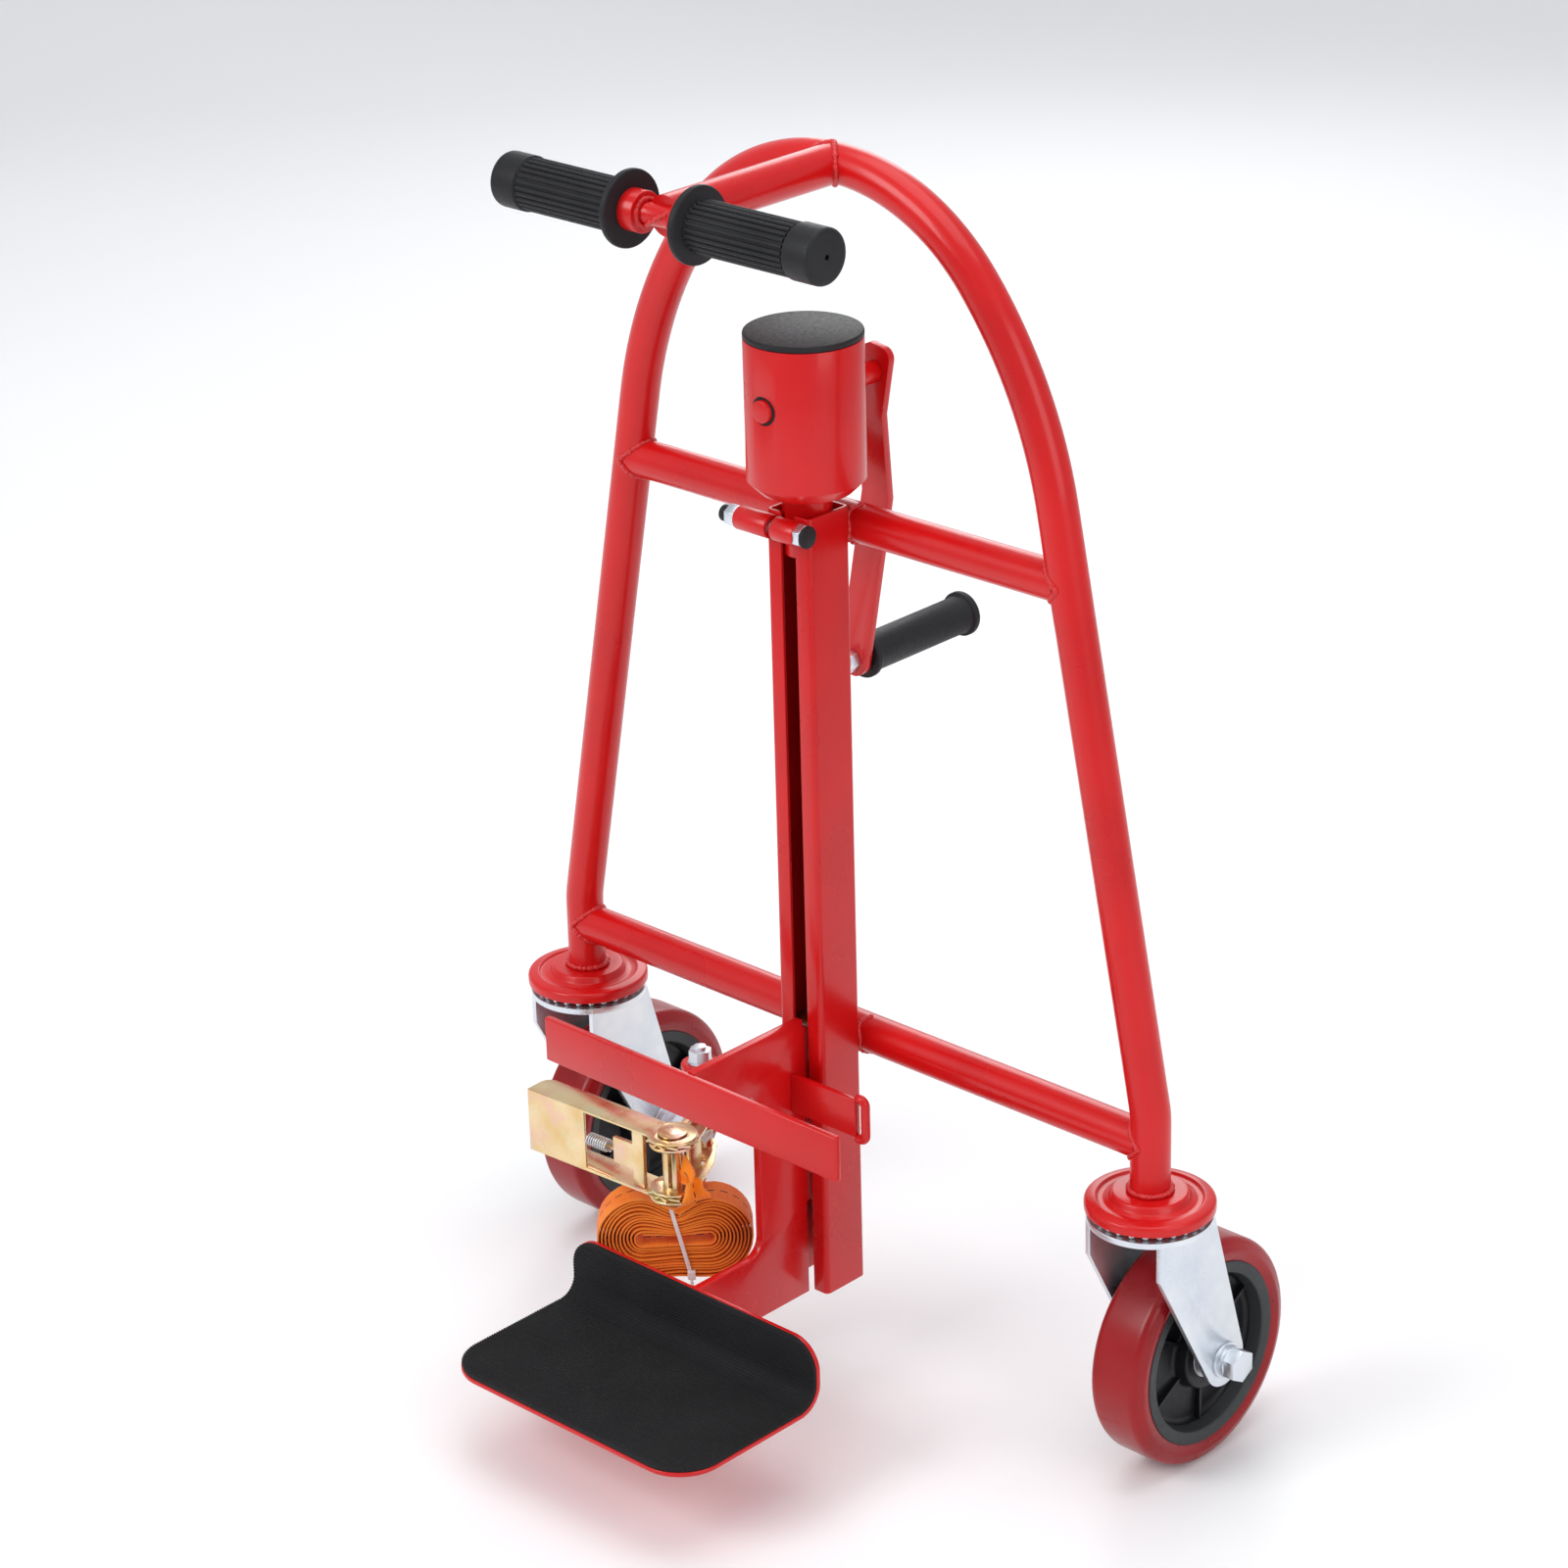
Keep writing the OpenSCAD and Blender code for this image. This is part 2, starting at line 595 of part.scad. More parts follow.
// side profile of the bent toe sheet between two offsets from its underside
module toe_side(o0, o1) {
    cy = gy1 - toe_t - toe_bend;
    cz = lift + toe_t + toe_bend;
    r0 = toe_bend + toe_t - o0;
    r1 = toe_bend + toe_t - o1;
    translate([toe_y1, lift + o0]) square([cy - toe_y1, o1 - o0]);
    translate([cy + r1, cz]) square([r0 - r1, lift + curl_h - cz]);
    intersection() {
        translate([cy, cz]) difference() { circle(r0); circle(r1); }
        translate([cy, cz - 2 * r0]) square([2 * r0, 2 * r0]);
    }
}
module toe_sheet(o0, o1, inset) {
    w = toe_w - 2 * inset;
    rotate([90, 0, 90]) translate([0, 0, -toe_w / 2]) linear_extrude(toe_w) toe_side(o0, o1);
}
module toe_outline(inset) {
    w = toe_w - 2 * inset;
    // from above, rounding the two front corners
    intersection() {
        translate([0, 0, lift - 1]) linear_extrude(curl_h + 2) union() {
            translate([-w / 2, toe_y1 + toe_corner]) square([w, toe_len - toe_corner + 5]);
            translate([-w / 2 + toe_corner, toe_y1 + inset]) square([w - 2 * toe_corner, toe_len]);
            for (s = [-1, 1]) translate([s * (w / 2 - toe_corner), toe_y1 + inset + toe_corner]) circle(toe_corner);
        }
        // from the front, rounding the turned-up edge
        translate([0, gy1 + 5, 0]) rotate([90, 0, 0]) linear_extrude(toe_len + 10) union() {
            translate([-w / 2, lift - 2]) square([w, curl_h + 2 - curl_corner]);
            translate([-w / 2 + curl_corner, lift]) square([w - 2 * curl_corner, curl_h]);
            for (s = [-1, 1]) translate([s * (w / 2 - curl_corner), lift + curl_h - curl_corner]) circle(curl_corner);
        }
    }
}
module toe_plate() { color("red") place() intersection() { toe_sheet(0, toe_t, 0); toe_outline(0); } }
module toe_mat() { color("dimgray") place() intersection() { toe_sheet(toe_t, toe_t + mat_t, 0); toe_outline(0.6); } }
module ear_bracket() {
    color("red") place() translate([0, rb[1], ear_z]) difference() {
        union() {
            translate([rb[0], -ear_w / 2, 0]) cube([-rb[0] - gusset_t / 2, ear_w, 4]);
            translate([rb[0], 0, 0]) cylinder(h = 4, d = ear_w);
        }
        translate([rb[0], 0, -1]) cylinder(h = 6, d = ratchet_bolt_d);
    }
}
module tie_arm() { color("orangered") place() translate([gusset_t / 2, yf - 13.5, lift + 136]) cube([55, 4, 26]); }
module tie_loop() {
    // a staple of round rod standing off the end of the arm
    color("firebrick") place() translate([gusset_t / 2 + 55, yf - 11.5, lift + 149]) rotate([90, 0, 0]) {
        for (s = [-1, 1]) translate([0, s * 14, 0]) rotate([0, 90, 0]) cylinder(h = 3, d = 6);
        for (s = [0, 1]) mirror([0, s, 0]) translate([3, 10, 0]) rotate_extrude(angle = 90) translate([4, 0]) circle(3);
        translate([7, 0, 0]) rotate([90, 0, 0]) translate([0, 0, -10]) cylinder(h = 20, d = 6);
    }
}
module ratchet_bolt() {
    zb = rz - hz - ratchet_t - 1.6;
    color("silver") place() translate([rb[0], rb[1], 0]) {
        translate([0, 0, zb]) cylinder(h = ear_z + 4 + 12 - zb, d = ratchet_bolt_d);
        translate([0, 0, zb - 5.3]) hex(5.3, ratchet_bolt_d + 5);
        translate([0, 0, zb]) tube_z(1.4, ratchet_bolt_d + 8, ratchet_bolt_d);
        translate([0, 0, ear_z + 4]) tube_z(1.5, ratchet_bolt_d + 8, ratchet_bolt_d);
        translate([0, 0, ear_z + 5.5]) difference() { hex(8, ratchet_bolt_d + 5); translate([0, 0, -1]) cylinder(h = 10, d = ratchet_bolt_d); }
        translate([0, 0, rz + hz + ratchet_t + 0.2]) tube_z(ear_z - rz - hz - ratchet_t - 0.2, ratchet_bolt_d + 6, ratchet_bolt_d);
    }
}

// ---- strap ratchet ----
module ratchet_place() { place() translate([sp[0], sp[1], rz]) rotate([0, 0, aim]) children(); }
module lever_place() { place() translate([sp[0], sp[1], rz]) rotate([0, 0, lever_ang]) children(); }
module plates(z, t) { for (s = [0, 1]) mirror([0, 0, s]) translate([0, 0, z]) linear_extrude(t) children(); }
module ratchet_frame() {
    color("khaki") ratchet_place() {
        plates(z_frame, ratchet_t) difference() {
            union() {
                circle(15);
                polygon([[0, -15], [ratchet_len * 0.6, -15], [ratchet_len + 3, -8.4], [ratchet_len, 0], [ratchet_len - 8, 3], [0, 3]]);
                translate([ratchet_len, 0]) circle(9);
            }
            circle(spool_d / 2 + run);
            translate([ratchet_len, 0]) circle(ratchet_bolt_d / 2 + run);
            rotate(lock_ang) translate([pawl_in - 0.5, -1.75]) square([20, 3.5]);
        }
        translate([ratchet_len, 0, -hz]) tube_z(2 * hz, ratchet_bolt_d + 5, ratchet_bolt_d + 2 * run);
    }
}
module ratchet_handle() {
    color("gold") lever_place() {
        plates(z_lever, ratchet_t) difference() {
            union() {
                circle(16);
                translate([0, -9]) square([lever_len - 8, 20]);
                translate([lever_len - 20, -1]) square([20, 12]);
                translate([lever_len - 8, -1]) circle(8);
            }
            circle(spool_d / 2 + run);
        }
        translate([66, 9, -z_lever - ratchet_t / 2]) cube([lever_len - 66, 2, 2 * z_lever + ratchet_t]);
    }
}
module drive_spring() { color("gray") lever_place() translate([48, 7, 0]) rotate([0, 90, 0]) tube_z(17.8, 9, 6.4); }
module drive_pawl() {
    color("orange") lever_place() {
        x0 = sqrt(pawl_in * pawl_in - 49) + 1.5;
        difference() {
            translate([x0, 5.5, -z_lever + 0.4]) cube([9, 3, 2 * z_lever - 0.8]);
        }
        translate([x0 + 9, 5.5, -9]) cube([43.5 - x0 - 9, 3, 18]);
        translate([43.5, 7, 0]) rotate([0, 90, 0]) cylinder(h = 18, d = 3);
    }
}
module lock_pawl() {
    color("orange") ratchet_place() rotate([0, 0, lock_ang]) translate([pawl_in, -1.5, -z_lever + 0.5]) cube([14, 3, 2 * z_lever - 1]);
}
module lock_spring() { color("gray") ratchet_place() rotate([0, 0, lock_ang]) translate([pawl_in + 18.6, 0, 0]) rotate([0, 90, 0]) tube_z(10, 6, 4); }
module ratchet_spool() {
    n = 12;
    ro = tooth_d / 2;
    ri = ro - 3.5;
    color("peru") ratchet_place() {
        difference() {
            translate([0, 0, -z_clip - 1.2]) cylinder(h = 2 * z_clip + 2.4, d = spool_d);
            translate([-spool_d, -1.3, -hz + 1]) cube([2 * spool_d, 2.6, 2 * hz - 2]);
        }
        plates(z_wheel, ratchet_t) difference() {
            polygon([for (i = [0:n - 1]) each [ro * turn(i * 360 / n), ri * turn(i * 360 / n + 3)]]);
            circle(d = spool_d);
        }
        plates(z_clip, 1) difference() { circle(spool_d / 2 + 2.5); circle(d = spool_d); }
    }
}
module bundle_place() { place() translate(bun) rotate([0, 0, 45]) rotate([90, 0, 0]) children(); }
module strap_bundle() {
    color("darkorange") bundle_place() translate([0, 0, -webbing_w / 2]) linear_extrude(webbing_w) union() {
        for (s = [-1, 1]) translate([s * lobe_x, 0]) circle(lobe_r);
        translate([-lobe_x, -lobe_r]) square([2 * lobe_x, lobe_r + sqrt(lobe_r * lobe_r - lobe_x * lobe_x)]);
    }
}
module zip_tie() {
    top = rz - z_lever - ratchet_t - 0.8 - bun[2];
    color("white") bundle_place() translate([-5, 0, 0]) difference() {
        translate([0, -lobe_r - 1.2, -webbing_w / 2 - 1.2]) cube([4, top + lobe_r + 1.2, webbing_w + 2.4]);
        translate([-1, -lobe_r, -webbing_w / 2]) cube([6, top + lobe_r - 1.2, webbing_w]);
    }
}

// ---- casters ----
module side(s) { place() mirror([s, 0, 0]) translate([track / 2, 0, 0]) children(); }
// the axle hardware points the same way on both casters: head toward +X, nut toward -X
module same_way(s) { place() translate([(1 - 2 * s) * track / 2, trail, axle_z]) children(); }
module race_plate(s) {
    r = race_d / 2;
    color("red") side(s) rotate_extrude() polygon([
        [6 + run, race_z], [r - 2.5, race_z], [r - 2.5, race_z - 1], [r, race_z - 1], [r, race_z + 4], [r - 1, race_z + 5.8],
        [r - 2.8, race_z + 6.5], [r - 6.5, race_z + 6.5], [r - 8.5, race_z + 5], [boss_r + 4, race_z + 5],
        [boss_r + 1.5, race_z + 7.5], [boss_r, race_z + 10.8], [boss_r - 1, race_z + 11.5], [6 + run, race_z + 11.5]]);
}
module caster_balls(s) {
    n = 26;
    color("white") side(s) for (i = [0:n - 1]) rotate([0, 0, i * 360 / n]) translate([crown_d / 2 - 4.5, 0, crown_top + ball_d / 2]) sphere(d = ball_d, $fn = 24);
}
module kingpin(s) {
    color("silver") side(s) {
        translate([0, 0, crown_z - 5]) cylinder(h = 5, r = 10);
        translate([0, 0, crown_z]) cylinder(h = foot_z - crown_z + 6, r = 6);
        translate([0, 0, foot_z + 0.3]) tube_z(4.5, 2 * min(9, rt - tube_wall - 0.6), 12);
    }
}
// the fork's leg, drawn in Y and Z
module leg_side() {
    c = [trail, axle_z];
    a = [-crown_d / 2 * 0.66, crown_top];
    b = [crown_d / 2 * 0.66, crown_top];
    knee = [a[0], crown_top - 28];
    union() {
        polygon([a, b, touch(b, c, tip_r - 0.02, -1), c, touch(knee, c, tip_r - 0.02, 1), knee]);
        translate(c) circle(tip_r);
    }
}
module fork(s) {
    color("lightgray") side(s) difference() {
        union() {
            translate([0, 0, crown_z]) cylinder(h = 4, d = crown_d);
            for (x = [fork_in, -fork_in - fork_t]) rotate([90, 0, 90]) translate([0, 0, x]) linear_extrude(fork_t) leg_side();
        }
        translate([0, 0, crown_z - 1]) cylinder(h = 6, r = 6);
        translate([0, trail, axle_z]) along_x(-60, 60, axle_d);
    }
}
module axle_bolt(s) {
    color("silver") same_way(s) {
        along_x(-out - 12, out, axle_d);
        translate([out, 0, 0]) rotate([0, 90, 0]) cylinder(h = 4, d = axle_d + 9);
        translate([out + 4, 0, 0]) rotate([0, 90, 0]) hex(8, axle_d + 7);
    }
}
module axle_fittings(s) {
    color("gainsboro") same_way(s) difference() {
        union() {
            along_x(out - 2, out, axle_d + 12);
            along_x(-out, -out + 2, axle_d + 12);
            translate([-out - 10.5, 0, 0]) rotate([0, 90, 0]) hex(10.5, axle_d + 7);
            along_x(-fork_in, fork_in, 2 * sleeve_r);
        }
        along_x(-60, 60, axle_d);
    }
}
module bearings(s) {
    color("slategray") side(s) translate([0, trail, axle_z]) for (m = [0, 1]) mirror([m, 0, 0]) difference() {
        along_x(wheel_w / 2 - 12, wheel_w / 2 - 2, 2 * sleeve_r + 16);
        along_x(0, wheel_w, 2 * sleeve_r + 2 * run);
    }
}
module hub(s) {
    w = wheel_w / 2;
    rb1 = sleeve_r + 8;
    color("dimgray") side(s) translate([0, trail, axle_z]) rotate([0, 90, 0]) difference() {
        rotate_extrude() polygon([
            [sleeve_r + 1.5, -w + 12], [rb1, -w + 12], [rb1, -w + 1.5], [rb1 + 8, -w + 1.5], [rb1 + 9, -6], [hub_r - 9, -6], [hub_r - 6, -w + 2], [hub_r, -w + 2],
            [hub_r, w - 2], [hub_r - 6, w - 2], [hub_r - 9, 6], [rb1 + 9, 6], [rb1 + 8, w - 1.5], [rb1, w - 1.5], [rb1, w - 12], [sleeve_r + 1.5, w - 12]]);
    }
}
module tread(s) {
    w = wheel_w / 2;
    r = wheel_d / 2;
    color("red") side(s) translate([0, trail, axle_z]) rotate([0, 90, 0]) rotate_extrude() difference() {
        union() {
            translate([hub_r, -w]) square([tread_t - tread_edge, 2 * w]);
            translate([hub_r, -w + tread_edge]) square([tread_t, 2 * w - 2 * tread_edge]);
            for (z = [-w + tread_edge, w - tread_edge]) translate([r - tread_edge, z]) circle(tread_edge);
        }
        translate([0, -w - 1]) square([hub_r, 2 * w + 2]);
    }
}
module left_race_plate() { race_plate(1); }
module right_race_plate() { race_plate(0); }
module left_balls() { caster_balls(1); }
module right_balls() { caster_balls(0); }
module left_kingpin() { kingpin(1); }
module right_kingpin() { kingpin(0); }
module left_fork() { fork(1); }
module right_fork() { fork(0); }
module left_axle_bolt() { axle_bolt(1); }
module right_axle_bolt() { axle_bolt(0); }
module left_axle_fittings() { axle_fittings(1); }
module right_axle_fittings() { axle_fittings(0); }
module left_bearings() { bearings(1); }
module right_bearings() { bearings(0); }
module left_hub() { hub(1); }
module right_hub() { hub(0); }
module left_tread() { tread(1); }
module right_tread() { tread(0); }

hoop_frame();
upper_crossbar();
lower_crossbar();
handle_stem();
handle_bar();
left_grip();
right_grip();
column();
gear_housing();
housing_cap();
clamp_bosses();
clamp_bolt();
clamp_caps();
shaft_bushes();
screw_bearings();
lead_screw();
screw_gear();
crank_shaft();
crank_gear();
crank_arm();
crank_bolt();
crank_grip();
slide_block();
lift_nut();
gusset_plate();
load_bar();
toe_plate();
toe_mat();
ear_bracket();
tie_arm();
tie_loop();
ratchet_bolt();
ratchet_frame();
ratchet_handle();
drive_spring();
drive_pawl();
lock_pawl();
lock_spring();
ratchet_spool();
strap_bundle();
zip_tie();
left_race_plate();
right_race_plate();
left_balls();
right_balls();
left_kingpin();
right_kingpin();
left_fork();
right_fork();
left_axle_bolt();
right_axle_bolt();
left_axle_fittings();
right_axle_fittings();
left_bearings();
right_bearings();
left_hub();
right_hub();
left_tread();
right_tread();
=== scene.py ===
"""Looks for the hand-cranked lifting dolly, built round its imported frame. Metres, +Z up."""
import json
import math
import bpy
import bmesh
import numpy as np
from mathutils import Matrix, Quaternion, Vector

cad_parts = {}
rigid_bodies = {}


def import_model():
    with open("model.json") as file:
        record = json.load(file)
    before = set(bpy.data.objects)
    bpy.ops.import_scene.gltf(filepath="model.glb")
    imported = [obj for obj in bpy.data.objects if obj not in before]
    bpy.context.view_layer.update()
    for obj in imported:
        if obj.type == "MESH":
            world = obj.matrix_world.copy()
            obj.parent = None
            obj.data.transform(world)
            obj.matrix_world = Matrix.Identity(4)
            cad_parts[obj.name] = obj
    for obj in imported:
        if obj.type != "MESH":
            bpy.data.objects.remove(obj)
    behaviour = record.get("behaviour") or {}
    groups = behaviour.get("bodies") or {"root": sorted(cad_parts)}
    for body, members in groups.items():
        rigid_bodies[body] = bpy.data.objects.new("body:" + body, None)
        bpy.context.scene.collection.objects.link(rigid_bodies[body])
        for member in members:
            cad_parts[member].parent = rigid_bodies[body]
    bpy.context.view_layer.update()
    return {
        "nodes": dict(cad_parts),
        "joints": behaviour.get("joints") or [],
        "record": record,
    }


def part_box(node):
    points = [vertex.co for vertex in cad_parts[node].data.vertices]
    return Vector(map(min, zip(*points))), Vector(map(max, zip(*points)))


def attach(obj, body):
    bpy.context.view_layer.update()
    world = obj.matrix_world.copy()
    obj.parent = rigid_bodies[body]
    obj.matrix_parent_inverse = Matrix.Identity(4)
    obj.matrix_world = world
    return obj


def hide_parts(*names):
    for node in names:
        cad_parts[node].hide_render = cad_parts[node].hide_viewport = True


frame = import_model()


node = frame["nodes"]


# ---------- where things are, read from the frame ----------
def mid(name):
    lo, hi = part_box(name)
    return (lo + hi) / 2


def joint(name):
    return next(j for j in frame["joints"] if j["name"] == name)


hoop_y = mid("hoop_frame").y
column = mid("column")
spool = Vector(joint("spool_turn")["pos_m"])
crank_axis = Vector(joint("crank_turn")["pos_m"])
TUBE = 0.0125      # radius of the frame tube
SKIN = 0.00005     # welded-on tubes are this much thinner, so their skins don't share a surface


# ---------- camera ----------
def aim(obj, target, roll=0.0):
    look = (Vector(target) - obj.location).normalized()
    turn = look.to_track_quat("-Z", "Y")
    obj.rotation_mode = "QUATERNION"
    obj.rotation_quaternion = Quaternion(look, roll) @ turn


camera = bpy.data.objects.new("camera", bpy.data.cameras.new("camera"))
bpy.context.scene.collection.objects.link(camera)
camera.location = (1.769, hoop_y - 1.894, 1.531)
camera.data.lens = 104
camera.data.sensor_width = 36
camera.data.clip_end = 50
aim(camera, (-0.012, hoop_y - 0.045, 0.412), math.radians(1.57))
bpy.context.scene.camera = camera
bpy.context.scene.view_settings.view_transform = "Standard"


# ---------- shader maths ----------
class Sock:
    """A node tree's socket or number that can be added, scaled and mixed."""

    def __init__(self, tree, value):
        self.tree, self.value = tree, value

    def math(self, kind, *others, clamp=False):
        n = self.tree.nodes.new("ShaderNodeMath")
        n.operation, n.use_clamp = kind, clamp
        for socket, v in zip(n.inputs, (self, *others)):
            put(self.tree, socket, v)
        return Sock(self.tree, n.outputs[0])

    def __add__(self, o): return self.math("ADD", o)
    def __radd__(self, o): return self.math("ADD", o)
    def __sub__(self, o): return self.math("SUBTRACT", o)
    def __rsub__(self, o): return Sock(self.tree, o).math("SUBTRACT", self)
    def __mul__(self, o): return self.math("MULTIPLY", o)
    def __rmul__(self, o): return self.math("MULTIPLY", o)
    def __truediv__(self, o): return self.math("DIVIDE", o)
    def __pow__(self, o): return self.math("POWER", o)
    def __gt__(self, o): return self.math("GREATER_THAN", o)
    def __lt__(self, o): return self.math("LESS_THAN", o)

    def fit(self, a, b, c=0.0, d=1.0):
        n = self.tree.nodes.new("ShaderNodeMapRange")
        n.clamp = True
        for i, v in enumerate((self, a, b, c, d)):
            put(self.tree, n.inputs[i], v)
        return Sock(self.tree, n.outputs[0])


def put(tree, socket, v):
    if isinstance(v, Sock):
        v = v.value
    if isinstance(v, bpy.types.NodeSocket):
        tree.links.new(v, socket)
    elif isinstance(v, (tuple, list)) and len(v) == 3 and socket.type == "RGBA":
        socket.default_value = (*v, 1)
    else:
        socket.default_value = v


class Finish:
    """One material: a Principled surface and the nodes that feed it."""

    def __init__(self, name, **set_sockets):
        self.mat = bpy.data.materials.new(name)
        self.mat.use_nodes = True
        self.tree = self.mat.node_tree
        self.surface = self.tree.nodes["Principled BSDF"]
        for socket, v in set_sockets.items():
            self.feed(socket.replace("_", " "), v)

    def feed(self, socket, v):
        put(self.tree, self.surface.inputs[socket], v)

    def node(self, kind, settings=(), out=0, **inputs):
        n = self.tree.nodes.new(kind)
        for k, v in dict(settings).items():
            setattr(n, k, v)
        for k, v in inputs.items():
            key = k.replace("_", " ")
            put(self.tree, n.inputs[int(key[1:]) if key[0] == "i" and key[1:].isdigit() else key], v)
        return Sock(self.tree, n.outputs[out])

    def place(self):
        return self.node("ShaderNodeTexCoord", out=3)

    def uv(self):
        return self.node("ShaderNodeUVMap", {"uv_map": "weave"})

    def stretch(self, scale, at=None):
        return self.node("ShaderNodeMapping", Vector=at or self.place(), Scale=scale)

    def noise(self, scale, detail=3, at=None, rough=0.5):
        return self.node("ShaderNodeTexNoise", Vector=at or self.place(), Scale=scale,
                         Detail=detail, Roughness=rough)

    def cells(self, scale, at=None, feature="F1", out=0):
        return self.node("ShaderNodeTexVoronoi", {"feature": feature}, out=out,
                         Vector=at or self.place(), Scale=scale)

    def part(self, vector, axis):
        return self.node("ShaderNodeSeparateXYZ", out="XYZ".index(axis), Vector=vector)

    def mix(self, amount, a, b):
        return self.node("ShaderNodeMix", {"data_type": "RGBA"}, out=2, i0=amount, i6=a, i7=b)

    def bump(self, height, depth, strength=1.0, under=None):
        extra = {} if under is None else {"Normal": under}
        return self.node("ShaderNodeBump", Height=height, Distance=depth, Strength=strength, **extra)


def red_powder_coat():
    f = Finish("red_powder_coat", Coat_Weight=0.22, Coat_Roughness=0.12, Specular_IOR_Level=0.32)
    cloud = f.noise(14, 4)
    peel = f.noise(620, 2)
    dust = (f.cells(260) < 0.05) * (f.noise(30) > 0.62)
    base = f.mix(cloud.fit(0.3, 0.7), (0.53, 0.0025, 0.0035), (0.62, 0.004, 0.005))
    f.feed("Base Color", f.mix(dust * 0.35, base, (0.72, 0.05, 0.04)))
    f.feed("Roughness", cloud.fit(0.3, 0.75, 0.25, 0.36) + dust * 0.15)
    f.feed("Normal", f.bump(peel, 0.00012, 0.35, f.bump(f.noise(120, 2), 0.00012, 0.12)))
    return f.mat


def weld_red():
    f = Finish("weld_red", Coat_Weight=0.3, Coat_Roughness=0.15, Specular_IOR_Level=0.4)
    lumps = f.noise(700, 3)
    f.feed("Base Color", f.mix(lumps.fit(0.35, 0.7), (0.50, 0.005, 0.008), (0.70, 0.016, 0.016)))
    f.feed("Roughness", lumps.fit(0.3, 0.7, 0.2, 0.42))
    f.feed("Normal", f.bump(lumps, 0.0006, 0.5))
    return f.mat


def bright_zinc():
    f = Finish("bright_zinc", Metallic=0.9)
    spangle = f.cells(90, out=0)
    cloud = f.noise(22, 5)
    grain = f.noise(1.0, 3, f.stretch((900, 900, 60)))
    tone = f.mix(cloud.fit(0.3, 0.7), (0.64, 0.69, 0.76), (0.84, 0.86, 0.87))
    f.feed("Base Color", f.mix(spangle.fit(0.1, 0.8, 0.0, 0.25), tone, (0.60, 0.66, 0.72)))
    f.feed("Roughness", cloud.fit(0.3, 0.7, 0.20, 0.36) + grain * 0.08)
    f.feed("Normal", f.bump(f.noise(240, 3), 0.00012, 0.35, f.bump(grain, 0.00004, 0.4)))
    return f.mat


def yellow_zinc():
    f = Finish("yellow_zinc", Metallic=0.95)
    drift = f.noise(38, 3)
    warm = f.mix(drift.fit(0.35, 0.65), (0.74, 0.50, 0.22), (0.84, 0.66, 0.40))
    pink = f.mix(f.noise(55, 2).fit(0.5, 0.72), warm, (0.82, 0.50, 0.42))
    f.feed("Base Color", f.mix(f.noise(47, 2).fit(0.55, 0.75, 0.0, 0.7), pink, (0.66, 0.70, 0.42)))
    f.feed("Roughness", drift.fit(0.3, 0.7, 0.18, 0.34))
    f.feed("Normal", f.bump(f.noise(300, 3), 0.0001, 0.35))
    return f.mat


def turned_steel():
    f = Finish("turned_steel", Metallic=1.0)
    rings = f.noise(1.0, 3, f.stretch((260, 260, 2400)))
    f.feed("Base Color", f.mix(rings, (0.36, 0.36, 0.37), (0.58, 0.58, 0.59)))
    f.feed("Roughness", rings.fit(0.2, 0.8, 0.25, 0.42))
    f.feed("Normal", f.bump(rings, 0.00006, 0.5))
    return f.mat


def bronze():
    f = Finish("bearing_bronze", Metallic=1.0)
    pores = f.noise(500, 4)
    f.feed("Base Color", f.mix(pores, (0.48, 0.27, 0.10), (0.66, 0.42, 0.18)))
    f.feed("Roughness", pores.fit(0.3, 0.7, 0.3, 0.5))
    f.feed("Normal", f.bump(pores, 0.0001, 0.5))
    return f.mat


def soft_black(name, dark, light, rough, grain, depth):
    f = Finish(name, Specular_IOR_Level=0.26)
    cloud = f.noise(25, 4)
    fine = f.noise(grain, 3)
    f.feed("Base Color", f.mix(cloud.fit(0.3, 0.7), dark, light))
    f.feed("Roughness", fine.fit(0.3, 0.7, rough - 0.06, rough + 0.08) + cloud * 0.05)
    f.feed("Normal", f.bump(fine, depth, 0.5, f.bump(cloud, 0.0003, 0.15)))
    return f.mat


def red_tread():
    f = Finish("red_tread", Coat_Weight=0.12, Coat_Roughness=0.2, Specular_IOR_Level=0.28)
    cloud = f.noise(20, 4)
    scuff = f.noise(1.0, 4, f.stretch((40, 160, 160))).fit(0.6, 0.72)
    base = f.mix(cloud.fit(0.3, 0.7), (0.24, 0.0025, 0.005), (0.32, 0.004, 0.007))
    f.feed("Base Color", f.mix(scuff * 0.15, base, (0.36, 0.012, 0.015)))
    f.feed("Roughness", cloud.fit(0.3, 0.7, 0.24, 0.38) + scuff * 0.18)
    f.feed("Normal", f.bump(f.noise(180, 3), 0.00015, 0.3))
    return f.mat


